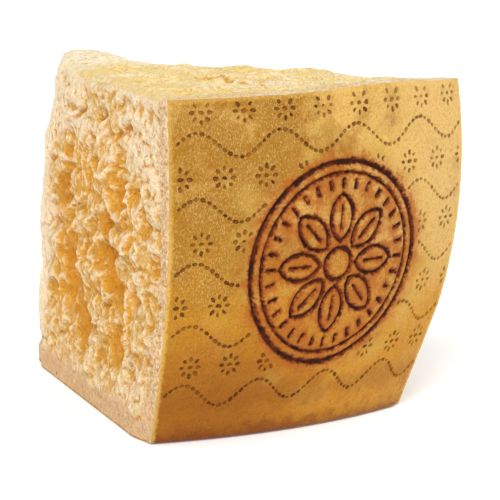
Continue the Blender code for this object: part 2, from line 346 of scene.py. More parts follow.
class Places:
    """Places of the plain wedge with their distances to the faces round them."""

    def __init__(self, cut: Cut, lattice: Array) -> None:
        """Works out every distance.

        Args:
            cut: the wedge's shape.
            lattice: N x 3 places, 0 to 1 across, deep and high.
        """
        self.cut = cut
        self.point = cut.points(lattice)
        x, y, self.height = self.point.T
        self.x = x
        self.radius = np.hypot(x, y)
        self.angle = np.arctan2(x, -y)
        self.under_side = cut.wheel.side_radius(self.height) - self.radius
        self.from_top = cut.height - self.height
        back = np.stack([x, y - cut.tip_behind_axis, 0.0 * x], axis=1)
        self.left = self.side_normal(-1)
        self.right = self.side_normal(1)
        self.from_left = np.abs((back * self.left).sum(axis=1))
        self.from_right = np.abs((back * self.right).sum(axis=1))
        self.from_tip = np.linalg.norm(back, axis=1) - cut.tip_length(self.height, lattice[:, 0])

    def side_normal(self, hand: int) -> Array:
        """Outward normals of a torn side, -1 for the left one and 1 for the right one.

        Args:
            hand: -1 for the left side and 1 for the right one.

        Returns:
            N x 3 normals.
        """
        radius = self.cut.wheel.side_radius(self.height)
        half = self.cut.half_angle
        along = np.arctan2(radius * math.sin(half), radius * math.cos(half) + self.cut.tip_behind_axis)
        return np.stack([hand * np.cos(along), np.sin(along), 0.0 * along], axis=1)

    def total(self, runs: Sequence[tuple[str, float, float, float]]) -> Array:
        """What runs add up to, each a distance's name, where it starts and ends, and its height."""
        return sum(height * smooth_step(start, end, getattr(self, name)) for name, start, end, height in runs)

    def crumbled(self, first: Array, second: Array, normals: Array, radius: Array) -> Array:
        """Moves that round off the edge between two faces, at these distances from them."""
        share = np.clip(1.0 - (first + second) / radius, 0.0, None)
        return normals * (-self.cut.round_cut * radius * share * share)[:, None]

    def foot_ledge(self) -> Array:
        """How far the cut rind at the foot stands out from the torn sides."""
        cut = self.cut
        out = cut.foot_ledge * smooth_step(0.0, 2.0 * cut.side_rind, self.under_side)
        out = out * smooth_step(0.0, cut.tip_margin, self.from_tip)
        return out * falling_step(0.3 * cut.foot_ledge_height, cut.foot_ledge_height, self.height)

    def top_swell(self) -> Array:
        """Broad rise and fall of the top."""
        rise = np.zeros(len(self.point))
        for sideways, distance, half_x, half_y, height in self.cut.top_swells:
            far = ((self.point[:, 0] - sideways) / half_x) ** 2
            far = far + ((-self.point[:, 1] - distance) / half_y) ** 2
            rise += height * np.exp(-far)
        at_angle, half_angle, height = self.cut.rim_swell
        near_rim = nearness(self.under_side, self.cut.rim_reach)
        return rise + height * near_rim * np.exp(-(((self.angle - at_angle) / half_angle) ** 2))

    def frayed(self) -> Array:
        """Moves that chip the rind's cut edges a little, at the sides and along the top."""
        cut = self.cut
        grain = Grain(91)
        at_rind = nearness(self.under_side, cut.fray_depth)
        move = np.zeros((len(self.point), 3))
        for hand, distance, normal in ((0.0, self.from_left, self.left), (1.0, self.from_right, self.right)):
            along = np.stack([self.height, 0.0 * self.height + hand], axis=1)
            chip = grain.layered(along, cut.fray_size, 4) - cut.fray_bias
            chip *= smooth_step(0.0, cut.fray_foot, self.height)
            move += normal * (cut.fray * chip * nearness(distance, cut.fray_reach) * at_rind)[:, None]
        along = np.stack([self.angle * cut.wheel.belly_radius, 0.0 * self.height + 2.0], axis=1)
        chip = grain.layered(along, cut.fray_size_top, 3) - cut.fray_bias
        move[:, 2] += cut.fray * chip * nearness(self.from_top, cut.fray_reach) * at_rind
        return move

    def broad_move(self, inside: Array) -> Array:
        """Moves that give the foot's ledge, the top's swells and the crumbled edges.

        Args:
            inside: 0 in the smooth bands of rind and 1 in the torn paste.

        Returns:
            N x 3 moves.
        """
        cut = self.cut
        up, back = np.array([0.0, 0.0, 1.0]), np.array([0.0, 1.0, 0.0])
        move = up * (nearness(self.from_top, cut.edge_blend) * self.top_swell())[:, None]
        ledge = self.foot_ledge()
        corner = 0.0 * self.left + up + back
        move += self.crumbled(self.from_tip, self.from_top, corner, cut.tip_top_round)
        tip_length = cut.tip_length(self.height, 0.0)
        tip_round = np.minimum(cut.tip_edge_round, cut.tip_round_share * tip_length)
        for distance, normal in ((self.from_left, self.left), (self.from_right, self.right)):
            move += normal * (nearness(distance, cut.edge_blend) * ledge)[:, None]
            edge = self.crumbled(distance, self.from_top, normal + up, cut.top_edge_round)
            move += inside[:, None] * edge
            tip_edge = self.crumbled(distance, self.from_tip, normal + back, tip_round)
            move += cut.tip_edge_share * tip_edge
        foot = cut.tip_foot * falling_step(0.5 * cut.tip_foot_height, cut.tip_foot_height, self.height)
        move += back * (foot * nearness(self.from_tip, cut.edge_blend))[:, None]
        return move + self.frayed()


# ---- the torn surface ----


class Face(Enum):
    """The torn faces, each with the seed of its own run of crags."""

    LEFT = 3.0
    RIGHT = 47.0
    TOP = 81.0
    TIP = 59.0


@dataclass(frozen=True)
class Crags:
    """The large crags, which are those of the solid that the paste stands for."""

    coarse_chips: Pair = (19 * MM, 4.2 * MM)
    fine_chips: Pair = (9.5 * MM, 2.6 * MM)
    lump: Pair = (6.5 * MM, 1.4 * MM)
    lump_share: float = 0.7
    level_share: float = 1.2
    level_spread: float = 7.31
    tilt_spread: float = 5.17
    drift: float = 4 * MM
    drift_size: float = 28 * MM

    def chips(self, point: Vector, size: float, seed: float) -> float:
        """Flat facets, each at its own level and tilt, about -1 to 1.

        Args:
            point: where.
            size: about the width of a facet.
            seed: picks the run of facets.

        Returns:
            A height, about -1 to 1.
        """
        place = point / size + Vector((seed, 2.0 * seed, 3.0 * seed))
        middle = noise.voronoi(place)[1][0]
        level = noise.noise(middle * self.level_spread)
        tilt = noise.noise_vector(middle * self.tilt_spread)
        return self.level_share * level + tilt.dot(place - middle)

    @staticmethod
    def lumps(point: Vector, size: float, seed: float) -> float:
        """Rounded grains with creases between them, about -0.5 to 0.5."""
        return 0.5 - noise.voronoi(point / size + Vector((seed, seed, seed)))[0][0]

    def height(self, point: Vector, seed: float) -> float:
        """Height of the torn paste at one point.

        Args:
            point: where.
            seed: picks the run of crags.

        Returns:
            A height in metres.
        """
        drift = noise.noise_vector(point / self.drift_size + Vector((seed, 0.0, 0.0)))
        moved = point + self.drift * drift
        height = 0.5 * self.coarse_chips[1] * self.chips(moved, self.coarse_chips[0], seed)
        height += 0.5 * self.fine_chips[1] * self.chips(moved, self.fine_chips[0], seed + 11.0)
        return height - self.lump_share * self.lump[1] * self.lumps(moved, self.lump[0], seed + 23.0)

    def heights(self, points: Array, near: Array, seed: float) -> Array:
        """Heights at all the points marked near, and 0 elsewhere.

        Args:
            points: N x 3.
            near: which of them are wanted.
            seed: picks the run of crags.

        Returns:
            N heights in metres.
        """
        found = np.zeros(len(points))
        for index in np.flatnonzero(near):
            found[index] = self.height(Vector(points[index]), seed)
        return found


@dataclass(frozen=True)
class Hollow:
    """A hollow torn out of a side: its place along and up the side, half-sizes, depth and lean."""

    radius: float
    height: float
    wide: float
    tall: float
    depth: float
    lean: float

    FAR = 1.9
    WOBBLES = ((9 * MM, 0.4), (3.7 * MM, 0.22))

    def reach(self, radius: Array, height: Array) -> Array:
        """How far out in the hollow each place lies: 0 at its middle and about 1 at its rim.

        Args:
            radius: each place's distance from the axis.
            height: of each place.

        Returns:
            N shares, which wander a little near the hollow.
        """
        up = height - self.height
        out = radius - self.radius - self.lean * up
        plain = np.hypot(out / self.wide, up / self.tall)
        for index in np.flatnonzero(plain < self.FAR):
            place = Vector((radius[index], height[index], self.radius))
            plain[index] += sum(share * noise.noise(place / size) for size, share in self.WOBBLES)
        return plain


@dataclass(frozen=True)
class Patch:
    """A broad soft patch of a side: its place along and up it, half-sizes, and how much warmer it is."""

    radius: float
    height: float
    wide: float
    tall: float
    warmth: float

    def tint(self, radius: Array, height: Array) -> Array:
        """What the patch adds to the warmth of each place."""
        far = ((radius - self.radius) / self.wide) ** 2 + ((height - self.height) / self.tall) ** 2
        return self.warmth * np.exp(-far)


def in_mm(kind: type, *rows: Sequence[float]) -> tuple:
    """Things of one kind from rows of millimetres, each row ending with a plain number."""
    return tuple(kind(*(value * MM for value in row[:-1]), row[-1]) for row in rows)


LEFT_HOLLOWS = in_mm(
    Hollow,
    (124, 55, 17, 13, 6.5, -0.9),
    (133, 47, 15, 8, 3.0, 0.0),
    (57, 49, 16, 19, 6.0, -0.2),
    (77, 28, 11, 14, 5.0, -0.2),
    (117, 76, 9, 8, 5.0, 0.0),
    (144, 89, 11, 8, 3.5, 0.3),
    (105, 98, 12, 5, 3.5, 0.4),
    (47, 80, 14, 9, 4.0, 0.2),
    (129, 29, 9, 11, 3.0, 0.0),
    (62, 98, 8, 4, 2.5, 0.3),
    (30, 37, 9, 4, 2.0, 0.0),
    (94, 47, 7, 5, 3.0, 0.0),
)
RIGHT_HOLLOWS = in_mm(
    Hollow,
    (150, 66, 20, 12, 5.5, 0.5),
    (98, 84, 17, 11, 5.0, -0.4),
    (72, 41, 15, 15, 6.0, 0.1),
    (122, 34, 16, 8, 4.0, 0.3),
    (165, 100, 12, 8, 3.0, 0.0),
    (58, 92, 9, 8, 3.0, 0.2),
    (160, 36, 9, 9, 3.0, 0.0),
)
LEFT_PATCHES = in_mm(
    Patch,
    (128, 104, 30, 20, 0.55),
    (90, 86, 38, 17, 0.75),
    (138, 78, 18, 24, 0.45),
    (112, 62, 22, 30, 0.4),
    (62, 60, 16, 26, 0.3),
    (82, 20, 13, 16, -0.8),
    (150, 14, 30, 10, -0.2),
)
RIGHT_PATCHES = in_mm(
    Patch,
    (150, 98, 28, 18, 0.5),
    (92, 62, 26, 28, 0.4),
    (150, 48, 22, 18, 0.35),
    (66, 104, 20, 12, -0.3),
)


@dataclass(frozen=True)
class Ledge:
    """A lip where one layer of paste broke off above another: a step along a wandering line."""

    middle: Pair
    turn: float
    half_long: float
    height: float
    back: float = 11 * MM
    half_step: float = 0.45 * MM
    wander: float = 5.5 * MM
    wander_size: float = 17 * MM

    def rise(self, flat: Array, grain: Grain) -> Array:
        """Height that the ledge adds at each place, sharp on one side and fading on the other.

        Args:
            flat: N x 2 places in the surface's own plane.
            grain: makes the ledge's line wander.

        Returns:
            N heights in metres.
        """
        along, beside = turned(*(flat - np.array(self.middle)).T, self.turn)
        beside = beside + self.wander * grain.layered(flat, self.wander_size, 3)
        ends = falling_step(0.55, 1.0, np.abs(along) / self.half_long)
        step = smooth_step(-self.half_step, self.half_step, beside) * nearness(beside, self.back)
        return self.height * ends * step


def ledges(*rows: Sequence[float]) -> tuple[Ledge, ...]:
    """Ledges from rows: both places of the middle, the turn in degrees, the half-length and the height.

    Args:
        rows: five numbers each.

    Returns:
        The ledges.
    """
    return tuple(
        Ledge((first * MM, second * MM), math.radians(turn), half_long * MM, height * MM)
        for first, second, turn, half_long, height in rows
    )


LEFT_LEDGES = ledges(
    (158, 84, 80, 22, 1.7),
    (108, 66, 65, 20, 1.6),
    (85, 56, 100, 24, 1.6),
    (148, 40, 95, 20, 1.5),
    (132, 104, 60, 18, 1.3),
    (84, 100, 110, 16, 1.2),
    (66, 24, 80, 16, 1.2),
)
RIGHT_LEDGES = ledges(
    (160, 80, 100, 22, 1.6),
    (120, 60, 70, 22, 1.6),
    (86, 66, 95, 20, 1.4),
    (136, 104, 50, 18, 1.3),
    (60, 30, 75, 16, 1.2),
)
TOP_LEDGES = ledges(
    (8, -186, -30, 18, 0.9),
    (34, -170, 10, 20, 0.9),
    (24, -132, -48, 22, 1.1),
    (-12, -108, -20, 18, 1.1),
    (6, -84, -55, 18, 1.0),
    (-4, -56, -15, 12, 0.9),
    (-44, -172, -30, 18, 1.1),
)


@dataclass(frozen=True)
class TornFace:
    """One torn face: its large crags, its hollows and the scoops and grains that cover it."""

    face: Face
    hollows: tuple[Hollow, ...] = ()
    ledges: tuple[Ledge, ...] = ()
    patches: tuple[Patch, ...] = ()
    waxy_share: float = 1.0
    steep_share: float = 1.0
    hollow_wall: Pair = (0.1, 1.2)
    waxy_wall: Pair = (0.45, 1.3)
    warm_wall: Pair = (0.6, 2.2)
    least_waxy: float = 0.35
    waxy_depth: float = 7 * MM
    warm_share: float = 0.6
    crag_share: float = 1.0
    fine_share: float = 1.0
    crags: Crags = Crags()
    scoops: tuple[Pair, ...] = (
        (14.0 * MM, 2.1 * MM),
        (6.8 * MM, 0.70 * MM),
        (3.4 * MM, 0.34 * MM),
    )
    grain_size: float = 2.2 * MM
    grain_height: float = 0.28 * MM
    grit: float = 0.22 * MM
    band_grain: Pair = (2.0 * MM, 0.6 * MM)
    band_coarse: float = 3.6 * MM
    band_border: float = 1.4 * MM
    least_at_foot: float = 0.35
    hollow_lump: Pair = (6.0 * MM, 1.0 * MM)
    stretch: Pair = (0.66, 1.0)
    warps: tuple[Pair, ...] = ((16 * MM, 6 * MM), (4.5 * MM, 1.3 * MM))
    bump_share: float = 0.85
    bump_shift: float = 0.37
    bump_spread: float = 2.2
    patch_size: float = 18 * MM
    lump_spread: float = 22 * MM
    waxy_calm: float = 0.65

    def hollow(self, places: Places) -> tuple[Array, Array]:
        """How deep the hollows are at each place, and how waxy it is there, 0 to 1.

        Args:
            places: the wedge's places.

        Returns:
            Depths in metres, and shares from 0 to 1.
        """
        deepest, waxy = np.zeros(len(places.point)), np.zeros(len(places.point))
        for each in self.hollows:
            reach = each.reach(places.radius, places.height)
            deepest = np.maximum(deepest, falling_step(*self.hollow_wall, reach) * each.depth)
            strong = min(1.0, self.least_waxy + each.depth / self.waxy_depth) * self.waxy_share
            waxy = np.maximum(waxy, falling_step(*self.waxy_wall, reach) * strong)
        return deepest, waxy

    def tint(self, places: Places) -> Array:
        """How much warmer the face's broad patches and the surroundings of its hollows make each place.

        Args:
            places: the wedge's places.

        Returns:
            What to add to the warmth, about -0.8 to 1.5.
        """
        around = np.zeros(len(places.point))
        for each in self.hollows:
            reach = each.reach(places.radius, places.height)
            around = np.maximum(around, falling_step(*self.warm_wall, reach))
        warmer = sum(patch.tint(places.radius, places.height) for patch in self.patches)
        return warmer + self.warm_share * around

    def fine(self, flat: Array, waxy: Array) -> Array:
        """Height of the scoops, bumps and grains at each place.

        Args:
            flat: places in the face's own plane.
            waxy: how smooth each place is, 0 to 1.

        Returns:
            Heights in metres.
        """
        seed = int(self.face.value)
        grain = Grain(seed)
        moved = flat
        for size, reach in self.warps:
            moved = grain.warped(moved, size, reach)
        moved = moved * self.stretch
        total = np.zeros(len(flat))
        for order, (size, depth) in enumerate(self.scoops, seed):
            bowls = Grain(order).scoops(moved, size, depth)
            bumps = Grain(order + 20).scoops(moved + self.bump_shift * size, self.bump_share * size, depth)
            share = smooth_step(-0.34, 0.12, Grain(order + 40).waves(flat, self.bump_spread * size))
            total += (1.0 - share) * bowls - self.bump_share * share * bumps
        patch = smooth_step(-0.3, 0.3, grain.layered(flat, self.patch_size, 2))
        total += at_least(0.5, patch) * grain.grains(moved, self.grain_size, self.grain_height)
        total *= 1.0 - self.waxy_calm * waxy
        lumpy = smooth_step(-0.1, 0.35, grain.layered(flat, self.lump_spread, 2))
        total += waxy * lumpy * grain.grains(moved, *self.hollow_lump)
        return total + self.grit * grain.layered(moved, self.grain_size, 1)

    def shape(
        self, places: Places, flat: Array, distance: Array, calm: Array, banded: Array, joined: "Neighbours"
    ) -> tuple[Array, Array]:
        """Heights of this face's surface, and how waxy it is in its hollows.

        Args:
            places: the wedge's places.
            flat: each place's two coordinates in the face's own plane.
            distance: of each place from the face.
            calm: how rough the torn surface is, up to 1, and nearly 0 in the bands of rind.
            banded: how far in a band of rind each place is, 0 to 1.
            joined: the lattice's neighbours.

        Returns:
            Heights, and how waxy the places are, 0 to 1.
        """
        near = distance < places.cut.edge_blend
        crags = joined.even_out(self.crags.heights(places.point, near, self.face.value), 3)
        hollow, waxy = self.hollow(places)
        height = self.crag_share * crags
        height[near] += self.fine_share * self.fine(flat[near], waxy[near])
        for ledge in self.ledges:
            height[near] += ledge.rise(flat[near], Grain(int(self.face.value) + 60))
        height = calm * height - hollow * np.minimum(1.0, 4.0 * calm)
        size, depth = self.band_grain
        base = places.cut.base_rind
        border = smooth_step(0.0, self.band_border, np.minimum(places.under_side, places.height))
        border *= at_least(self.least_at_foot, smooth_step(base, 4.0 * base, places.height))
        coarse = Grain(7).layered(flat[near], self.band_coarse, 3)
        rough = Grain(7).grains(flat[near], size, depth) + depth * coarse
        height[near] += (border * banded)[near] * rough
        weight = nearness(distance, places.cut.edge_blend)
        return height * weight, waxy * weight


@dataclass(frozen=True)
class Crack:
    """A crooked crack in the top, whose far lip stands a little higher than its near one.

    Its corners are places across and along the wedge, each with the crack's half-width there.
    """

    corners: tuple[Triple, ...]
    far_side: Pair = (0.59, 0.81)
    depth: float = 2.0 * MM
    lip: float = 1.3 * MM
    lip_back: float = 13 * MM
    half_step: float = 0.8 * MM
    wander: Pair = (6 * MM, 3 * MM)

    def shape(self, flat: Array) -> tuple[Array, Array]:
        """Where the crack is, 0 to 1, and the height that it adds, for each place on the top.

        Args:
            flat: N x 2 places in the surface's own plane.

        Returns:
            Shares from 0 to 1, and heights in metres.
        """
        wander = Grain(33).warped(flat, *self.wander)
        nearest, open_here, beyond, ends = (np.full(len(flat), value) for value in (9.0, 0.0, 0.0, 0.0))
        for order, (first, second) in enumerate(zip(self.corners, self.corners[1:])):
            start, along = np.array(first[:2]), np.array(second[:2]) - np.array(first[:2])
            share = np.clip(((wander - start) * along).sum(axis=1) / (along * along).sum(), 0.0, 1.0)
            away = wander - start - share[:, None] * along
            half_width = first[2] + share * (second[2] - first[2])
            reach = np.linalg.norm(away, axis=1) / half_width
            closer = reach < nearest
            nearest = np.where(closer, reach, nearest)
            open_here = np.where(closer, half_width / max(corner[2] for corner in self.corners), open_here)
            beyond = np.where(closer, away @ np.array(self.far_side), beyond)
            ends = np.where(closer, (order + share) / (len(self.corners) - 1), ends)
        lifted = smooth_step(-self.half_step, self.half_step, beyond)
        lifted *= nearness(np.abs(beyond), self.lip_back)
        lifted *= smooth_step(0.0, 0.12, ends) * smooth_step(1.0, 0.88, ends)
        crack = nearness(nearest, 1.0)
        return crack, open_here * (self.lip * lifted - self.depth * crack)


TOP_CRACK = Crack(
    tuple(
        (x * MM, y * MM, half_width * MM)
        for x, y, half_width in (
            (-15, -131, 1.0),
            (-18, -144, 1.4),
            (-11, -146, 3.2),
            (-9, -149, 2.2),
            (-15, -158, 1.4),
            (-14, -168, 1.8),
            (-2, -171, 1.1),
        )
    )
)


class Neighbours:
    """Which of a mesh's points are joined by an edge, for evening out values between them."""

    def __init__(self, pairs: Array, count: int) -> None:
        """Keeps the joined pairs.

        Args:
            pairs: M x 2 whole numbers, the two ends of each edge.
            count: how many points there are.
        """
        self.first, self.second = pairs.T
        self.count = count
        self.degree = np.maximum(np.bincount(pairs.ravel(), minlength=count), 1)

    def even_out(self, values: Array, rounds: int) -> Array:
        """The values after each has moved halfway to its neighbours' mean, this many times.

        Args:
            values: one a point.
            rounds: how many times they move.

        Returns:
            The evened values.
        """
        for _ in range(rounds):
            total = np.bincount(self.first, values[self.second], self.count)
            total += np.bincount(self.second, values[self.first], self.count)
            values = 0.5 * values + 0.5 * total / self.degree
        return values


class Lattice:
    """A closed unit cube whose sides are cut into a grid, to be moved onto the wedge."""

    def __init__(self, across: int, deep: int, high: int) -> None:
        """Cuts a cube into this many cells each way.

        Args:
            across: cells from side to side.
            deep: cells from tip to rind.
            high: cells upwards.
        """
        self.grid = bmesh.new()
        bmesh.ops.create_cube(self.grid, size=1.0, matrix=Matrix.Translation((0.5, 0.5, 0.5)))
        for axis, cells in enumerate((across, deep, high)):
            along = [
                edge
                for edge in self.grid.edges
                if abs(edge.verts[0].co[axis] - edge.verts[1].co[axis]) > 0.5
            ]
            bmesh.ops.subdivide_edges(self.grid, edges=along, cuts=cells - 1, use_grid_fill=True)

    def side_faces(self, axis: int, end: float) -> list[bmesh.types.BMFace]:
        """The faces of the cube's side at this end, 0 or 1, of an axis."""
        return [f for f in self.grid.faces if all(abs(v.co[axis] - end) < 1e-5 for v in f.verts)]

    def thin_out(self, axis: int, end: float, along: int, cells: int, kept: int) -> None:
        """Takes lines out of one side that won't show, or that lie too close.

        Args:
            axis: the axis that the side is square to.
            end: 0 or 1, which end of it.
            along: the axis whose lines are thinned out.
            cells: how many cells there are along it.
            kept: every how many lines one stays.
        """
        faces = set(self.side_faces(axis, end))
        gone = []
        for edge in self.grid.edges:
            if not all(face in faces for face in edge.link_faces):
                continue
            first, second = (v.co[along] * cells for v in edge.verts)
            inner = round(first) % kept and round(first) not in (2, cells - 2)
            if abs(first - second) < 1e-3 and inner:
                gone.append(edge)
        bmesh.ops.dissolve_edges(self.grid, edges=gone, use_verts=True)

    def places(self) -> Array:
        """Every vertex's place in the unit cube."""
        return np.array([tuple(vert.co) for vert in self.grid.verts])

    def neighbours(self) -> Neighbours:
        """Which vertices are joined by an edge."""
        self.grid.verts.index_update()
        pairs = [(edge.verts[0].index, edge.verts[1].index) for edge in self.grid.edges]
        return Neighbours(np.array(pairs, dtype=np.int64), len(self.grid.verts))

    def move_to(self, points: Array) -> None:
        """Moves every vertex to its point."""
        for vert, point in zip(self.grid.verts, points):
            vert.co = point


def at_rind(lattice: Array) -> tuple[Array, Array]:
    """Which of the lattice's places lie on the wheel's side, and which on its base."""
    return lattice[:, 1] > 1.0 - 1e-5, lattice[:, 2] < 1e-5


class Surface:
    """A finished mesh's points with what can be measured on them."""

    def __init__(self, mesh: bpy.types.Mesh) -> None:
        """Reads the mesh's points, normals and edges.

        Args:
            mesh: the finished mesh.
        """
        count = len(mesh.vertices)
        points = np.empty(count * 3)
        mesh.vertices.foreach_get("co", points)
        self.points = points.reshape(-1, 3)
        self.normals = np.array([tuple(normal.vector) for normal in mesh.vertex_normals])
        edges = np.empty(len(mesh.edges) * 2, dtype=np.int64)
        mesh.edges.foreach_get("vertices", edges)
        self.joined = Neighbours(edges.reshape(-1, 2), count)

    def dip(self, rounds: int) -> Array:
        """How far each point lies below its surroundings, which widen with the rounds."""
        smooth = np.stack([self.joined.even_out(axis, rounds) for axis in self.points.T], axis=1)
        return ((smooth - self.points) * self.normals).sum(axis=1)

    def steepness(self, rounds: int) -> Array:
        """How far each point's normal leans from that of its surroundings: 0 where it doesn't.

        Args:
            rounds: how wide the surroundings are.

        Returns:
            One number a point.
        """
        smooth = np.stack([self.joined.even_out(axis, rounds) for axis in self.normals.T], axis=1)
        smooth /= np.maximum(np.linalg.norm(smooth, axis=1), 1e-9)[:, None]
        return 1.0 - (smooth * self.normals).sum(axis=1)


# ---- materials ----


@dataclass(frozen=True)
class Run:
    """A measure's smooth run between two values, as a share that runs between two others.

    A run without a start is the measure itself.
    """

    measure: str
    start: float | None = None
    end: float = 1.0
    end_share: float = 1.0
    start_share: float = 0.0


@dataclass(frozen=True)
class Layer:
    """A colour laid over those under it, as strongly as its runs multiplied together."""

    colour: Colour
    runs: tuple[Run, ...]


def over(colour: Colour, *runs: Sequence[object]) -> Layer:
    """A layer of this colour, with each run given by its measure's name and its numbers."""
    return Layer(colour, tuple(Run(*run) for run in runs))


class Nodes:
    """A new material's node tree, with short ways to add what the finishes need."""

    NOISE_RUN = (0.3, 0.7)

    def __init__(self, name: str) -> None:
        """Starts a material with one Principled shader.

        Args:
            name: the material's.
        """
        self.material = bpy.data.materials.new(name)
        self.material.use_nodes = True
        self.tree = self.material.node_tree
        self.shader = self.tree.nodes["Principled BSDF"]
        self.measures: dict[str, Socket] = {}

    def add(self, kind: str, inputs: dict[object, object], **settings: object) -> bpy.types.Node:
        """A new node of this kind with these inputs and settings.

        Args:
            kind: the node's type.
            inputs: what feeds its sockets, by their names or numbers.
            settings: its own settings, by their names.

        Returns:
            The node.
        """
        node = self.tree.nodes.new(kind)
        for name, value in settings.items():
            setattr(node, name, value)
        for name, value in inputs.items():
            self.feed(node.inputs[name], value)
        return node

    def feed(self, socket: Socket, value: object) -> None:
        """Gives a socket a number, a colour or another node's output.

        Args:
            socket: an input.
            value: what it is given.
        """
        if isinstance(value, Socket):
            self.tree.links.new(value, socket)
        elif isinstance(value, tuple) and len(value) == 3 and socket.type == "RGBA":
            socket.default_value = (*value, 1.0)
        else:
            socket.default_value = value

    def measure(self, name: str) -> Socket:
        """A measure by its name: one that the finish made, or else the mesh's own attribute.

        Args:
            name: the measure's or the attribute's.

        Returns:
            The output that holds it.
        """
        if name not in self.measures:
            self.measures[name] = self.add("ShaderNodeAttribute", {}, attribute_name=name).outputs["Fac"]
        return self.measures[name]

    def position(self) -> Socket:
        """Object coordinates."""
        return self.add("ShaderNodeTexCoord", {}).outputs["Object"]

    def sheet(self, turn: float, stretch: Vector) -> Socket:
        """The piece's own flat coordinates, turned and stretched.

        Args:
            turn: in radians.
            stretch: how much finer each axis runs.

        Returns:
            The coordinates.
        """
        place = self.add("ShaderNodeUVMap", {}, uv_map="flat").outputs["UV"]
        inputs = {"Vector": place, "Rotation": (0.0, 0.0, turn), "Scale": stretch}
        return self.add("ShaderNodeMapping", inputs).outputs["Vector"]

    def speckle(self, size: float, detail: float, place: object = None) -> Socket:
        """Noise from 0 to 1 with features of this size in metres.

        Args:
            size: of the features.
            detail: how many finer layers lie on them.
            place: coordinates to use in place of the object's own.

        Returns:
            The noise.
        """
        at = self.position() if place is None else place
        inputs = {"Vector": at, "Scale": 1.0 / size, "Detail": detail}
        return self.add("ShaderNodeTexNoise", inputs).outputs["Fac"]

    def pebbles(self, size: float) -> Socket:
        """Distance from the middle of the nearest pebble of this size, from 0 to about 1."""
        inputs = {"Vector": self.position(), "Scale": 1.0 / size}
        return self.add("ShaderNodeTexVoronoi", inputs).outputs["Distance"]

    def height(self) -> Socket:
        """How high each place lies above the base."""
        return self.add("ShaderNodeSeparateXYZ", {"Vector": self.position()}).outputs["Z"]

    def fit(
        self, value: object, low: float, high: float, start: float = 0.0, end: float = 1.0
    ) -> Socket:
        """The value's run from low to high as a smooth run from start to end.

        Args:
            value: what is fitted.
            low: where its run starts.
            high: where its run ends.
            start: what it becomes there.
            end: what it becomes at the other end.

        Returns:
            The fitted value.
        """
        inputs = {"Value": value, "From Min": low, "From Max": high, "To Min": start, "To Max": end}
        return self.add("ShaderNodeMapRange", inputs, interpolation_type="SMOOTHSTEP").outputs["Result"]

    def maths(self, operation: str, first: object, second: object) -> Socket:
        """Two values put together by a Math node."""
        return self.add("ShaderNodeMath", {0: first, 1: second}, operation=operation).outputs["Value"]

    def mix(self, first: object, second: object, share: object) -> Socket:
        """Two colours mixed: none of the second at 0 and all of it at 1."""
        return self.add("ShaderNodeMix", {0: share, 6: first, 7: second}, data_type="RGBA").outputs[2]

    def bump(self, height: object, distance: float, strength: float, under: object = None) -> Socket:
        """A normal roughened by a height that is this far from 0 to 1.

        Args:
            height: 0 to 1.
            distance: how far apart 0 and 1 are, in metres.
            strength: how much of the bump shows.
            under: the normal that is roughened, if not the mesh's own.

        Returns:
            The normal.
        """
        inputs = {"Height": height, "Distance": distance, "Strength": strength}
        if under is not None:
            inputs["Normal"] = under
        return self.add("ShaderNodeBump", inputs).outputs["Normal"]

    def make_noises(self, rows: Sequence[tuple[str, float, float]]) -> None:
        """Makes a measure of each row's noise: its name, the size of its features and its detail."""
        for name, size, detail in rows:
            self.measures[name] = self.speckle(size, detail)

    def stir(self, rows: Sequence[tuple[str, str, str, float]]) -> None:
        """Makes measures that noises push up and down.

        Args:
            rows: each has the new measure's name, the old one's, the noise's and how far it pushes.
        """
        for name, source, pushed_by, reach in rows:
            push = self.fit(self.measure(pushed_by), *self.NOISE_RUN, -reach, reach)
            self.measures[name] = self.maths("ADD", self.measure(source), push)

    def share(self, run: Run) -> Socket:
        """How strongly one run lets its layer show.

        Args:
            run: a measure's run.

        Returns:
            The share.
        """
        value = self.measure(run.measure)
        if run.start is None:
            return value
        return self.fit(value, run.start, run.end, run.start_share, run.end_share)

    def lay(self, colour: object, layers: Sequence[Layer]) -> Socket:
        """The colour with each of the layers laid over it in turn.

        Args:
            colour: the lowest one.
            layers: in order, the lowest first.

        Returns:
            The colour.
        """
        for layer in layers:
            total, *others = [self.share(run) for run in layer.runs]
            for other in others:
                total = self.maths("MULTIPLY", total, other)
            colour = self.mix(colour, layer.colour, total)
        return colour

    def finish(self, **sockets: object) -> bpy.types.Material:
        """Feeds the shader's sockets, named with _ for a space, and gives the material.

        Args:
            sockets: what feeds each of them.

        Returns:
            The material.
        """
        for name, value in sockets.items():
            self.feed(self.shader.inputs[name.replace("_", " ")], value)
        return self.material


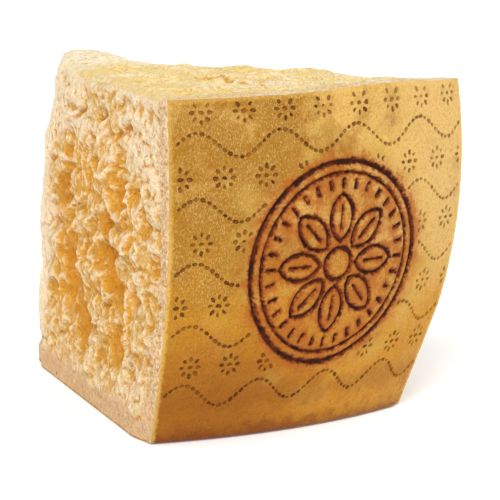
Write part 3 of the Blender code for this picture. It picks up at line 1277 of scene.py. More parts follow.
@dataclass(frozen=True)
class PasteFinish:
    """Torn hard paste: straw slopes, warmer or whiter in patches, with painted highlights of cream on the
    crests, painted shade of gold, amber and darker gold in the dips and on steep slopes, and golden waxy
    hollows, partly their own colour and partly painted shade.
    """

    # Painted highlight: a pale cream laid on the fine crests, the places that stand above their surroundings.
    crest_painted_highlight: Colour = srgb(236, 216, 182)
    white: Colour = srgb(239, 216, 180)
    margin: Colour = srgb(244, 222, 188)
    straw: Colour = srgb(216, 176, 110)
    # gold and amber are the paste's warmer tones, and also painted shade where they are laid on steep slopes,
    # in dips and in the hollows.
    gold: Colour = srgb(212, 156, 58)
    amber: Colour = srgb(200, 134, 34)
    # Painted shade: a darker gold laid in the fine dips between grains, on the sides and in the bands.
    crease_painted_shade: Colour = srgb(198, 136, 50)
    # deep: painted shade for the deepest parts of the waxy hollows.
    deep: Colour = srgb(188, 112, 18)
    band: Colour = srgb(214, 176, 132)
    band_shade: Colour = srgb(204, 160, 110)
    # rim: a pale strip of paste along the rind, partly its own paler colour and partly a painted highlight
    # where the edge rounds off.
    rim: Colour = srgb(231, 205, 168)
    top_pale: Colour = srgb(240, 224, 190)
    top_yellow: Colour = srgb(232, 199, 116)
    # Painted shade: a darker gold laid on the top's steep slopes and in its dips.
    top_dip_painted_shade: Colour = srgb(220, 170, 72)
    # Painted shade: a dark gold laid in the crack across the top, for the shadow in the gap.
    crack_painted_shade: Colour = srgb(206, 150, 44)
    # foot: a dark brown along the paste's bottom edge, partly the base rind seen edge on and partly a painted
    # contact shadow.
    foot: Colour = srgb(150, 96, 52)
    noises: tuple[tuple[str, float, float], ...] = (
        ("mottled", 2.4 * MM, 4.0),
        ("grit", 1.0 * MM, 4.0),
        ("grainy", 1.2 * MM, 2.0),
        ("whiter", 16 * MM, 3.0),
        ("yellow", 24 * MM, 2.0),
    )
    stirred: tuple[tuple[str, str, str, float], ...] = (
        ("fine", "dip_fine", "grit", -0.2),
        ("warmer", "warm", "mottled", 0.12),
        ("whiter", "whiter", "mottled", 0.1),
        ("middle", "dip_mid", "mottled", 0.12),
        ("waxy", "hollow", "mottled", 0.16),
        ("yellow", "yellow", "mottled", 0.05),
        ("cracked", "crack", "mottled", 0.35),
        ("banded", "band", "mottled", 0.25),
        ("edge", "rim", "mottled", 0.2),
        ("low", "height", "mottled", 0.2 * MM),
    )
    on_sides: tuple[Layer, ...] = (
        over(gold, ("warmer", 0.2, 0.9, 0.9)),
        over(white, ("warmer", 0.2, -0.35, 0.8)),
        over(white, ("whiter", 0.52, 0.66, 0.6), ("warmer", 0.5, 1.2, 0.35, 1.0)),
        # Painted highlight: white on the broad swellings that stand above their surroundings.
        over(white, ("dip_broad", -0.1, -0.9, 0.5), ("warmer", 0.5, 1.2, 0.35, 1.0)),
        # Painted shade: gold on the steep slopes and in the middling dips, amber in the broad dips.
        over(gold, ("steep", 0.0, 0.9, 0.7)),
        over(gold, ("middle", 0.0, 1.0, 0.85)),
        over(amber, ("dip_broad", 0.05, 0.9, 0.75)),
        over(margin, ("margin", 0.1, 1.0, 0.75)),
        # Painted shade in the fine dips.
        over(crease_painted_shade, ("fine", 0.15, 1.1, 0.65)),
        # The waxy hollows: gold and amber, partly the waxy paste's own colour and partly painted shade of
        # their depth; deep is painted shade where they dip most.
        over(gold, ("waxy", 0.1, 0.45, 0.85)),
        # Painted highlight of cream on the fine crests, weaker in the waxy hollows.
        over(crest_painted_highlight, ("fine", -0.15, -1.1, 0.75), ("waxy", 0.1, 0.8, 0.35, 1.0)),
        over(amber, ("waxy", 0.35, 0.75, 0.75)),
        over(deep, ("deep", 0.3, 0.95, 0.5)),
    )
    on_top: tuple[Layer, ...] = (
        over(top_yellow, ("yellow", 0.4, 0.68, 0.8)),
        # Painted shade on the top's steep slopes and in its dips.
        over(top_dip_painted_shade, ("steep", 0.1, 0.8, 0.5)),
        over(top_dip_painted_shade, ("middle", 0.15, 1.0, 0.55)),
        over(top_dip_painted_shade, ("dip_broad", 0.1, 0.9, 0.5)),
        over(top_dip_painted_shade, ("fine", 0.3, 1.2, 0.3)),
        # Painted highlight of cream on the fine crests of the top.
        over(crest_painted_highlight, ("fine", -0.2, -1.0, 0.5)),
        # Painted shade in the crack.
        over(crack_painted_shade, ("cracked", 0.05, 0.9, 0.85)),
    )
    in_bands: tuple[Layer, ...] = (
        over(band, ("mottled", 0.36, 0.58)),
        over(rim, ("grit", 0.46, 0.62), ("height", 8 * MM, 34 * MM, 0.95, 0.3)),
        # Painted shade in the fine dips of the bands.
        over(crease_painted_shade, ("fine", 0.25, 1.1, 0.55)),
        # The pale strip along the rind: partly its own colour, partly a painted highlight on the rounded
        # edge.
        over(rim, ("edge", 0.15, 0.85, 0.85)),
    )
    # Dark along the bottom edge: partly the base rind, partly a painted contact shadow.
    at_foot: tuple[Layer, ...] = (over(foot, ("low", 0.9 * MM, 0.4 * MM, 0.8)),)
    scatter: float = 0.3
    scatter_depth: float = 1.4 * MM
    scatter_reach: Triple = (1.0, 0.45, 0.15)
    roughness: float = 0.68
    waxy_roughness: float = 0.5
    gloss: float = 0.1
    pebble_size: float = 1.9 * MM
    grit_share: float = 0.7
    pebble_share: float = 0.35
    bump_height: float = 1.1 * MM

    def measures(self, make: Nodes) -> None:
        """Makes the measures that the layers go by.

        Args:
            make: the material's nodes.
        """
        make.make_noises(self.noises)
        make.measures["height"] = make.height()
        make.stir(self.stirred)
        make.measures["yellow"] = make.maths("ADD", make.measure("yellow"), make.measure("sunny"))
        # Painted shade: where a waxy hollow dips below its broad surroundings.
        dipped = make.share(Run("dip_broad", -0.2, 0.9))
        make.measures["deep"] = make.maths("MULTIPLY", make.measure("waxy"), dipped)

    def material(self) -> bpy.types.Material:
        """The paste's material, which reads what was measured on its mesh."""
        make = Nodes("torn_paste")
        self.measures(make)
        colour = make.lay(self.straw, self.on_sides)
        colour = make.mix(colour, make.lay(self.top_pale, self.on_top), make.share(Run("top", 0.3, 0.7)))
        bands = make.lay(self.band_shade, self.in_bands)
        colour = make.mix(colour, bands, make.share(Run("banded", 0.2, 1.0, 0.9)))
        grit = make.maths("MULTIPLY", make.measure("grit"), self.grit_share)
        pebbles = make.maths("MULTIPLY", make.pebbles(self.pebble_size), self.pebble_share)
        pits = make.maths("ADD", make.measure("mottled"), grit)
        normal = make.bump(make.maths("SUBTRACT", pits, pebbles), self.bump_height, 0.9)
        return make.finish(
            Base_Color=make.lay(colour, self.at_foot),
            Roughness=make.share(Run("hollow", 0.3, 0.8, self.waxy_roughness, self.roughness)),
            Normal=make.bump(make.measure("grainy"), self.bump_height, 1.0, normal),
            Subsurface_Weight=self.scatter,
            Subsurface_Scale=self.scatter_depth,
            Subsurface_Radius=self.scatter_reach,
            Specular_IOR_Level=self.gloss,
        )


@dataclass(frozen=True)
class RindFinish:
    """Smooth golden rind with a cloth's imprint, dark pricks and a burnt stamp; paler towards the upper right
    and darker towards the bottom and left, partly its own colour and partly painted light and shade.
    """

    golden: Colour = srgb(153, 104, 18)
    pale: Colour = srgb(206, 164, 84)
    cream: Colour = srgb(230, 198, 126)
    olive: Colour = srgb(190, 156, 70)
    # honey, amber and brown: the rind's deeper tones, laid darker towards the bottom and the left partly as
    # painted shade.
    honey: Colour = srgb(198, 138, 18)
    amber: Colour = srgb(170, 104, 12)
    brown: Colour = srgb(136, 78, 12)
    # border: a paler gold along the rind's cut edges, partly their own colour and partly a painted highlight
    # where they round off.
    border: Colour = srgb(226, 184, 92)
    # A cream laid on the upper right of the rind: partly its paler tone and partly painted light where the
    # lamps fall.
    creamy_and_painted_light: Colour = srgb(222, 186, 122)
    scorch: Colour = srgb(164, 88, 20)
    # singed: the stamp's scorched lines; also laid along the base edge, where it is partly painted shade.
    singed: Colour = srgb(112, 46, 14)
    pricked: Colour = srgb(80, 38, 12)
    pin_floor: Colour = srgb(176, 104, 34)
    burnt: Colour = srgb(40, 14, 8)
    noises: tuple[tuple[str, float, float], ...] = (
        ("patchy", 24 * MM, 3.0),
        ("blotchy", 6 * MM, 3.0),
        ("fine", 1.3 * MM, 3.0),
        ("grainy", 0.8 * MM, 2.0),
        ("worn", 15 * MM, 2.0),
        ("faded", 17 * MM, 2.0),
        ("uneven", 3.2 * MM, 3.0),
    )
    stirred: tuple[tuple[str, str, str, float], ...] = (
        ("paler", "paler", "blotchy", 0.05),
        ("low", "height_mm", "patchy", 14.0),
        ("base", "height_mm", "blotchy", 2.5),
        ("border", "border_mm", "fine", 0.4),
        ("halo", "stamp_mm", "blotchy", 1.8),
        ("halo", "halo", "fine", 1.5),
        ("edge", "stamp_mm", "fine", 0.35),
        ("edge", "edge", "uneven", 0.35),
        ("prick", "prick_mm", "fine", 0.16),
    )
    # Paler towards the right and the top: partly the rind's own tone and partly painted light, where the
    # lamps fall more strongly.
    paler_and_lit_right: Run = Run("across_mm", -50.0, 62.0, 0.15, -0.2)
    paler_and_lit_above: Run = Run("height_mm", 30.0, 125.0, 0.08, -0.07)
    layers: tuple[Layer, ...] = (
        # Pale over random patches and, partly as painted light, towards the right and the top.
        over(pale, ("paler", 0.36, 0.68, 0.95)),
        # Darker towards the bottom and the left: partly the rind's own colour and partly painted shade where
        # the belly turns under and away from the lamps.
        over(honey, ("low", 82.0, 34.0, 0.85)),
        over(amber, ("low", 62.0, 8.0, 0.75), ("across_mm", 45.0, -40.0, 1.0, 0.15)),
        over(brown, ("blotchy", 0.52, 0.8, 0.22)),
        # Partly painted light on the upper right.
        over(creamy_and_painted_light, ("across_mm", 5.0, 60.0, 0.4), ("height_mm", 45.0, 95.0)),
        over(cream, ("grainy", 0.5, 0.75, 0.3), ("height_mm", 20.0, 80.0, 1.0, 0.2)),
        over(brown, ("grainy", 0.5, 0.25, 0.32)),
        over(
            cream,
            ("cloth", 0.5, 0.78, 0.42),
            ("worn", 0.36, 0.62, 1.0, 0.3),
            ("height_mm", 20.0, 60.0, 1.0, 0.35),
        ),
        over(brown, ("fine", 0.5, 0.85, 0.4)),
        over(olive, ("faded", 0.5, 0.66), ("stamp_mm", 24.0, 6.0, 0.5)),
        # Darker towards the base edge: partly the rind's own colour and partly painted shade where the heel
        # turns under and meets the floor.
        over(brown, ("base", 24.0, 17.0, 0.4), ("base", 9.0, 14.0)),
        # Brown at the lower left: partly the rind's own colour, partly painted shade.
        over(brown, ("across_mm", 20.0, -50.0, 0.65), ("base", 60.0, 20.0)),
        over(singed, ("base", 9.0, 0.0, 0.65)),
        # Paler along the borders: partly a painted highlight on the rounded edges.
        over(border, ("border", 2.4, 0.3, 0.6), ("height_mm", 60.0, 125.0, 0.5, 1.0)),
        over(scorch, ("halo", 9.0, 3.0, 0.22)),
        over(scorch, ("halo", 3.4, 0.0, 0.8)),
        over(singed, ("edge", 1.3, 0.0, 0.45)),
        over(singed, ("edge", 0.4, 0.0, 0.9)),
        over(burnt, ("edge", 0.0, -0.5), ("blotchy", 0.3, 0.55, 0.95, 0.55)),
        # The pricks are darker towards the left: painted shade on the side that gets less light.
        over(pricked, ("prick", 0.2, -0.12), ("prick_dark",), ("across_mm", 5.0, 60.0, 0.74, 1.0)),
        over(pin_floor, ("prick", -0.22, -0.42), ("prick_pale",)),
    )
    threads: Pair = (math.radians(52.0), math.radians(-40.0))
    thread_size: Pair = (0.42 * MM, 1.15 * MM)
    roughness: Pair = (0.39, 0.55)
    burnt_roughness: float = 0.12
    gloss: float = 0.12
    pebble_size: float = 2.4 * MM
    scatter: float = 0.08
    scatter_depth: float = 1.0 * MM
    scatter_reach: Triple = (1.0, 0.4, 0.12)

    def cloth(self, make: Nodes) -> Socket:
        """The imprint of the cloth that lined the mould: short strokes that cross, worn in places.

        Args:
            make: the material's nodes.

        Returns:
            The imprint, 0 to 1.
        """
        wide, long = self.thread_size
        stretch = Vector((1.0 / wide, 1.0 / long, 1.0))
        threads = [make.speckle(1.0, 1.0, make.sheet(turn, stretch)) for turn in self.threads]
        return make.maths("MAXIMUM", *threads)

    def material(self) -> bpy.types.Material:
        """The rind's material, whose patterns lie on its own flat coordinates."""
        make = Nodes("golden_rind")
        make.make_noises(self.noises)
        make.measures["cloth"] = self.cloth(make)
        # Random pale patches, with painted light added towards the right and the top.
        paler = make.maths("ADD", make.measure("patchy"), make.share(self.paler_and_lit_right))
        make.measures["paler"] = make.maths("ADD", paler, make.share(self.paler_and_lit_above))
        make.stir(self.stirred)
        charred = make.share(Run("edge", 0.3, -0.3, self.burnt_roughness))
        rough = make.fit(make.measure("fine"), *make.NOISE_RUN, *self.roughness)
        pebbles = make.fit(make.pebbles(self.pebble_size), 0.55, 0.0)
        pebbles = make.maths("MULTIPLY", pebbles, make.share(Run("height_mm", 60.0, 35.0)))
        normal = make.bump(make.measure("cloth"), 0.55 * MM, 0.9)
        normal = make.bump(pebbles, 0.4 * MM, 0.6, normal)
        return make.finish(
            Base_Color=make.lay(self.golden, self.layers),
            Roughness=make.maths("ADD", rough, charred),
            Normal=make.bump(make.measure("fine"), 0.45 * MM, 0.6, normal),
            Subsurface_Weight=self.scatter,
            Subsurface_Scale=self.scatter_depth,
            Subsurface_Radius=self.scatter_reach,
            Specular_IOR_Level=self.gloss,
        )


@dataclass(frozen=True)
class FloorFinish:
    """Plain pale studio paper."""

    white: Colour = (0.98, 0.98, 0.98)
    glow: float = 0.13

    def material(self) -> bpy.types.Material:
        """A plain rough white."""
        return Nodes("studio_paper").finish(
            Base_Color=self.white,
            Roughness=0.9,
            Specular_IOR_Level=0.0,
            Emission_Color=self.white,
            Emission_Strength=self.glow,
        )


# ---- the pieces ----


class Piece:
    """What every piece of the cheese shares: its place on the model's body and its slot."""

    name = "piece"
    slot = "paste"

    def ride(self, mesh: bpy.types.Mesh) -> bpy.types.Object:
        """Makes the mesh an object that rides on the model and stands for the plain solid.

        Args:
            mesh: the finished mesh.

        Returns:
            The object.
        """
        piece = bpy.data.objects.new(self.name, mesh)
        bpy.context.scene.collection.objects.link(piece)
        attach(piece, BODY)
        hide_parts(NODE)
        return piece

    def mesh_of(self, grid: bmesh.types.BMesh, sharp: float) -> bpy.types.Mesh:
        """A smooth mesh made from the grid, with its edges sharp past this many degrees.

        Args:
            grid: what the mesh is made from, which is freed.
            sharp: an angle in degrees.

        Returns:
            The mesh.
        """
        mesh = bpy.data.meshes.new(self.name)
        grid.to_mesh(mesh)
        grid.free()
        mesh.shade_smooth()
        mesh.set_sharp_from_angle(angle=math.radians(sharp))
        return mesh

    @staticmethod
    def measure(mesh: bpy.types.Mesh, name: str, values: Array) -> None:
        """Stores one number a vertex under this name."""
        layer = mesh.attributes.new(name, "FLOAT", "POINT")
        layer.data.foreach_set("value", np.ascontiguousarray(values, dtype=np.float32))

    @staticmethod
    def measured(mesh: bpy.types.Mesh, name: str) -> Array:
        """The numbers stored under this name, one a vertex.

        Args:
            mesh: where they are stored.
            name: under which name.

        Returns:
            The numbers.
        """
        values = np.empty(len(mesh.vertices), dtype=np.float32)
        mesh.attributes[name].data.foreach_get("value", values)
        return values


@dataclass
class TornPaste(Piece):
    """The paste, with every face that was torn, and the smooth band of rind round them."""

    cut: Cut
    shift: Vector
    cells: tuple[int, int, int] = (96, 228, 150)
    name: str = "torn_paste"
    slot: str = "paste"
    sharp: float = 32.0
    loose: float = 0.3
    under_rind: float = 0.35 * MM
    under_rind_inside: float = 1.4 * MM
    ragged: float = 14 * MM
    ragged_size: float = 20 * MM
    margin: Pair = (3 * MM, 23 * MM)
    pale_margin: Pair = (2 * MM, 24 * MM)
    edge: float = 9 * MM
    border: float = 2.5 * MM
    # How far from the rind, and over which heights, the pale strip grows, which is partly a painted
    # highlight.
    rim: float = 4.5 * MM
    rim_foot: Pair = (10 * MM, 60 * MM)
    tip_edge: float = 4 * MM
    tip_foot: float = 8 * MM
    band_wander: Pair = (11 * MM, 3 * MM)
    least_at_edge: float = 0.45
    least_in_band: float = 0.2
    least_in_top_band: float = 0.12
    drift_size: float = 30 * MM
    plain_warmth: float = 0.46
    drift_warmth: float = 0.8
    hollow_warmth: float = 0.2
    crack: Crack = TOP_CRACK
    # How far the surface dips below its surroundings at three widths; the finish lays painted shade in the
    # dips and painted highlights on the crests by them.
    dips: tuple[tuple[str, int, float], ...] = (
        ("dip_fine", 4, 0.16 * MM),
        ("dip_mid", 18, 0.55 * MM),
        ("dip_broad", 70, 1.4 * MM),
    )
    warmer: tuple[tuple[str, float, float, float], ...] = (
        ("radius", 150 * MM, 40 * MM, 0.2),
        ("height", 72 * MM, 112 * MM, -0.75),
        ("from_tip", 36 * MM, 6 * MM, -0.9),
        ("height", 34 * MM, 12 * MM, -0.45),
    )
    sunnier: tuple[tuple[str, float, float, float], ...] = (
        ("radius", 90 * MM, 35 * MM, -0.2),
        ("x", 40 * MM, 62 * MM, -0.18),
    )
    left: TornFace = TornFace(Face.LEFT, LEFT_HOLLOWS, LEFT_LEDGES, LEFT_PATCHES)
    right: TornFace = TornFace(Face.RIGHT, RIGHT_HOLLOWS, RIGHT_LEDGES, RIGHT_PATCHES, 0.7, 0.55)
    top: TornFace = TornFace(
        Face.TOP, ledges=TOP_LEDGES, crag_share=0.6, fine_share=0.38, band_grain=(1.8 * MM, 0.25 * MM)
    )
    tip: TornFace = TornFace(Face.TIP, crag_share=0.8)

    def lattice(self) -> Lattice:
        """The lattice, thinned out where the rind will hide it and at the narrow tip."""
        lattice = Lattice(*self.cells)
        for axis, end in ((1, 1.0), (2, 0.0)):
            for along, cells in enumerate(self.cells):
                if along != axis:
                    lattice.thin_out(axis, end, along, cells, 12)
        lattice.thin_out(1, 0.0, 0, self.cells[0], 3)
        return lattice

    def inside_bands(self, places: Places, side_band: float, base_band: float) -> Array:
        """0 in the smooth bands of rind round a face and 1 in the torn paste.

        Args:
            places: the wedge's places.
            side_band: how wide the band next to the side is.
            base_band: how high the band above the base is.

        Returns:
            N shares.
        """
        fade = self.cut.band_fade
        size, reach = self.band_wander
        ragged = reach * np.array([noise.noise(Vector(point) / size) for point in places.point])
        inside = smooth_step(side_band, side_band + fade, places.under_side + ragged)
        return inside * smooth_step(base_band, base_band + fade, places.height + ragged)

    def warmth(self, places: Places, side: Array, hollow: Array) -> Array:
        """How warm the colour is at each place, about 0 to 1.

        Args:
            places: the wedge's places.
            side: each place's distance from the axis and height.
            hollow: how deep in a hollow each place is, 0 to 1.

        Returns:
            N shares.
        """
        drift = Grain(17).layered(side + places.x[:, None], self.drift_size, 3)
        warm = self.plain_warmth + self.drift_warmth * drift + self.hollow_warmth * hollow
        warm += places.total(self.warmer)
        on_left = places.from_left < places.from_right
        return warm + np.where(on_left, self.left.tint(places), self.right.tint(places))

    def shape(self, places: Places, joined: Neighbours) -> tuple[Array, dict[str, Array]]:
        """Works out the torn surface.

        Args:
            places: the wedge's places.
            joined: the lattice's neighbours.

        Returns:
            The surface's points, and what its finish needs to know of each, by name.
        """
        inside = self.inside_bands(places, self.cut.side_rind, self.cut.base_rind)
        banded = 1.0 - inside
        inside_top = self.inside_bands(places, self.cut.top_rind, 0.0)
        side = np.stack([places.radius, places.height], axis=1)
        ragged = self.ragged * Grain(43).layered(side + places.x[:, None], self.ragged_size, 3)
        margin = falling_step(*self.margin, places.from_tip + ragged)
        calm = 1.0 - 0.6 * margin
        near_edge = at_least(self.least_at_edge, smooth_step(0.0, self.edge, places.from_top))
        side_calm = calm * near_edge * at_least(self.least_in_band, inside)
        side_calm *= smooth_step(0.0, self.border, np.minimum(places.under_side, places.height))
        from_sides = np.minimum(places.from_left, places.from_right)
        top_calm = calm * at_least(self.least_at_edge, smooth_step(0.0, self.edge, from_sides))
        top_calm *= at_least(self.least_in_top_band, inside_top)
        top_calm *= smooth_step(0.0, self.border, places.under_side)
        tip_calm = near_edge * smooth_step(0.0, self.tip_edge, from_sides)
        tip_calm *= smooth_step(0.0, self.tip_foot, places.height)
        ground = places.point[:, :2]
        ends = np.stack([places.x, places.height], axis=1)
        left, left_waxy = self.left.shape(places, side, places.from_left, side_calm, banded, joined)
        right, right_waxy = self.right.shape(places, side, places.from_right, side_calm, banded, joined)
        top, _ = self.top.shape(places, ground, places.from_top, top_calm, 1.0 - inside_top, joined)
        tip, _ = self.tip.shape(places, ends, places.from_tip, tip_calm, 0.5 * banded, joined)
        on_top = places.from_top <= 1e-6
        crack, lifted = self.crack.shape(ground)
        points = places.point + places.broad_move(inside)
        points += places.left * left[:, None] + places.right * right[:, None]
        points[:, 1] += tip
        points[:, 2] += top
        points[:, 2] += lifted * on_top
        hollow = np.maximum(left_waxy, right_waxy)
        return points, {
            "hollow": hollow,
            "band": np.where(on_top, 0.6 * (1.0 - inside_top), np.maximum(banded, 0.15 * margin)),
            "warm": self.warmth(places, side, hollow),
            "top": nearness(places.from_top, self.border),
            # Nearness to the rind, stronger higher up, where the finish lays the pale strip that is partly a
            # painted highlight.
            "rim": nearness(places.under_side, self.rim)
            * at_least(0.4, smooth_step(*self.rim_foot, places.height)),
            "crack": crack * on_top,
            "margin": falling_step(*self.pale_margin, places.from_tip + 0.6 * ragged),
            "sunny": 0.1 + places.total(self.sunnier),
        }

    def loosen(self, lattice: Array) -> Array:
        """Shifts the lattice's inner lines a little at random, so that no rows show.

        Args:
            lattice: N x 3 places of the lattice, 0 to 1.

        Returns:
            The shifted places.
        """
        loose = lattice.copy()
        draw = np.random.default_rng(11).uniform(-self.loose, self.loose, lattice.shape)
        for axis, count in enumerate(self.cells):
            inner = np.abs(lattice[:, axis] - 0.5) < 0.5 - 1.5 / count
            loose[inner, axis] += draw[inner, axis] / count
        return loose

    def tuck_under_rind(self, places: Places, lattice: Array, points: Array) -> None:
        """Draws the hidden faces in, so that the rind's skin lies over them.

        Args:
            places: the wedge's places.
            lattice: N x 3 places of the lattice, 0 to 1.
            points: the surface's points, which are moved.
        """
        from_border = np.minimum(np.minimum(places.from_left, places.from_right), places.from_top)
        inner = smooth_step(0.0, 2 * MM, from_border)
        depth = self.under_rind + (self.under_rind_inside - self.under_rind) * inner
        on_side, on_base = at_rind(lattice)
        outward = places.point[:, :2] / places.radius[:, None]
        points[on_side, :2] -= outward[on_side] * depth[on_side, None]
        points[on_base, 2] += depth[on_base]

    def build(self) -> bpy.types.Object:
        """Builds the paste, measures its crests and dips, and dresses it."""
        lattice = self.lattice()
        cells = self.loosen(lattice.places())
        places = Places(self.cut, cells)
        points, zones = self.shape(places, lattice.neighbours())
        self.tuck_under_rind(places, cells, points)
        lattice.move_to(points + np.array(self.shift))
        grid = lattice.grid
        bmesh.ops.reverse_faces(grid, faces=grid.faces)
        bmesh.ops.triangulate(grid, faces=grid.faces)
        mesh = self.mesh_of(grid, self.sharp)
        surface = Surface(mesh)
        for name, rounds, depth in self.dips:
            zones[name] = np.tanh(surface.dip(rounds) / depth)
        # How steeply each place leans from its surroundings; the finish lays painted shade of gold on the
        # steep slopes.
        steep = smooth_step(0.02, 0.4, surface.joined.even_out(surface.steepness(40), 2))
        zones["steep"] = steep * np.where(places.from_right < 12 * MM, self.right.steep_share, 1.0)
        for name, values in zones.items():
            self.measure(mesh, name, values)
        mesh.materials.append(PasteFinish().material())
        return self.ride(mesh)


@dataclass
class Crumbs(Piece):
    """Small angular crumbs and flakes that cling to the torn faces, half sunk in."""

    paste: bpy.types.Object
    cut: Cut
    shift: Vector
    name: str = "clinging_crumbs"
    slot: str = "paste"
    sharp: float = 40.0
    count: int = 2600
    smallest: float = 0.7 * MM
    largest: float = 2.6 * MM
    small_share: float = 1.8
    flatness: float = 0.5
    sunk: float = 0.12
    rough: float = 0.13
    from_base: float = 4 * MM
    from_rim: float = 3 * MM
    from_tip: float = 60 * MM
    low_run: Pair = (20 * MM, 50 * MM)
    passed_on: tuple[str, ...] = ("hollow", "warm", "top", "sunny", "margin")

    def spots(self) -> Array:
        """The paste's vertices that a crumb clings to, most of them in the dips."""
        mesh = self.paste.data
        points = np.array([tuple(vert.co) for vert in mesh.vertices])
        height = points[:, 2]
        radius = np.hypot(points[:, 0] - self.shift.x, points[:, 1] - self.shift.y)
        low = falling_step(*self.low_run, height)
        chance = 0.35 + 0.65 * (self.measured(mesh, "dip_mid") > 0.2) + 1.2 * low
        chance *= 1.0 - 0.9 * self.measured(mesh, "band")
        chance *= (height > self.from_base) & (radius < self.cut.wheel.side_radius(height) - self.from_rim)
        chance *= smooth_step(0.0, self.from_tip, radius)
        chance *= 1.0 - 0.6 * (height > self.cut.height - self.from_rim)
        draw = np.random.default_rng(29)
        return draw.choice(len(points), self.count, replace=False, p=chance / chance.sum())

    def crumb(self, grid: bmesh.types.BMesh, point: Vector, normal: Vector, draw: np.random.Generator) -> int:
        """Adds one rough lump of twenty faces to the grid.

        Args:
            grid: holds all the crumbs.
            point: where the crumb clings.
            normal: outwards from the paste there.
            draw: gives the crumb's size, turn and roughness.

        Returns:
            How many vertices it has.
        """
        size = self.smallest * (self.largest / self.smallest) ** (draw.random() ** self.small_share)
        sides = (size * draw.uniform(0.7, 1.2), size * draw.uniform(0.6, 1.0), self.flatness * size, 1.0)
        lean = Vector(draw.uniform(-0.5, 0.5, 3)) + normal
        turn = lean.to_track_quat("Z", "Y").to_matrix().to_4x4()
        spin = Matrix.Rotation(draw.uniform(0.0, 2.0 * math.pi), 4, "Z")
        place = Matrix.Translation(point - self.sunk * size * normal) @ turn @ spin @ Matrix.Diagonal(sides)
        made = bmesh.ops.create_icosphere(grid, subdivisions=1, radius=0.5, matrix=place)
        for vert in made["verts"]:
            vert.co += self.rough * size * Vector(draw.uniform(-1.0, 1.0, 3))
        return len(made["verts"])

    def build(self) -> bpy.types.Object:
        """Builds all the crumbs as one mesh, which takes most of its measures from the paste."""
        grid = bmesh.new()
        draw = np.random.default_rng(31)
        shades, under = [], []
        paste = self.paste.data
        for spot in self.spots():
            count = self.crumb(grid, paste.vertices[spot].co, paste.vertex_normals[spot].vector, draw)
            # A random dip for each crumb, so that the paste's painted crease shade or crest highlight lies on
            # it at random.
            shades.extend([draw.uniform(-0.8, 0.5)] * count)
            under.extend([spot] * count)
        mesh = self.mesh_of(grid, self.sharp)
        self.measure(mesh, "dip_fine", np.array(shades))
        for name in self.passed_on:
            self.measure(mesh, name, self.measured(paste, name)[under])
        mesh.materials.append(paste.materials[0])
        return self.ride(mesh)


@dataclass(frozen=True)
class Stamp:
    """A round burnt mark: two rings, a ring of ticks and a flower of eight petals."""

    across: float = 2 * MM
    height: float = 67 * MM
    rings: tuple[Pair, ...] = (
        (39.0 * MM, 1.9 * MM),
        (34.8 * MM, 1.2 * MM),
        (6.2 * MM, 1.5 * MM),
    )
    tick_count: int = 32
    tick_from: float = 29.3 * MM
    tick_to: float = 32.0 * MM
    tick_width: float = 1.4 * MM
    petal_count: int = 8
    petal_from: float = 8.6 * MM
    petal_to: float = 26.8 * MM
    petal_half_width: float = 5.2 * MM
    petal_line: float = 1.5 * MM
    vein_long: float = 0.5
    vein_wide: float = 0.35

    def reach(self) -> float:
        """The radius of the whole mark."""
        radius, width = self.rings[0]
        return radius + width / 2.0

    @staticmethod
    def on_spokes(x: Array, y: Array, count: int) -> tuple[Array, Array]:
        """How far each place lies along the nearest of this many spokes, and beside it.

        Args:
            x: from the mark's middle, across.
            y: from its middle, up.
            count: of the spokes.

        Returns:
            Distances in metres.
        """
        radius, turn = np.hypot(x, y), np.arctan2(x, y)
        step = 2.0 * math.pi / count
        off = (turn / step - np.round(turn / step)) * step
        return radius * np.cos(off), np.abs(radius * np.sin(off))

    def petals(self, x: Array, y: Array) -> Array:
        """How far each place is outside the petals' lines and veins.

        Args:
            x: from the mark's middle, across.
            y: from its middle, up.

        Returns:
            Distances in metres, below 0 in the lines.
        """
        along, beside = self.on_spokes(x, y, self.petal_count)
        half = (self.petal_to - self.petal_from) / 2.0
        arc = (half**2 + self.petal_half_width**2) / (2.0 * self.petal_half_width)
        from_middle = np.abs(along - self.petal_from - half)
        outline = np.abs(np.hypot(from_middle, beside + arc - self.petal_half_width) - arc)
        past = from_middle - half
        outline = np.where(past > 0.0, np.hypot(past, beside), outline)
        vein = np.hypot(np.maximum(from_middle - self.vein_long * half, 0.0), beside)
        return np.minimum(outline - self.petal_line / 2.0, vein - self.vein_wide * self.petal_line)

    def distance(self, across: Array, height: Array) -> Array:
        """How far each place is outside the burnt lines: below 0 in them.

        Args:
            across: each place's distance round the belly.
            height: above the base.

        Returns:
            Distances in metres.
        """
        x, y = across - self.across, height - self.height
        best = self.petals(x, y)
        for ring, width in self.rings:
            best = np.minimum(best, np.abs(np.hypot(x, y) - ring) - width / 2.0)
        along, beside = self.on_spokes(x, y, self.tick_count)
        over_end = np.maximum(np.maximum(self.tick_from - along, along - self.tick_to), 0.0)
        return np.minimum(best, np.hypot(over_end, beside) - self.tick_width / 2.0)


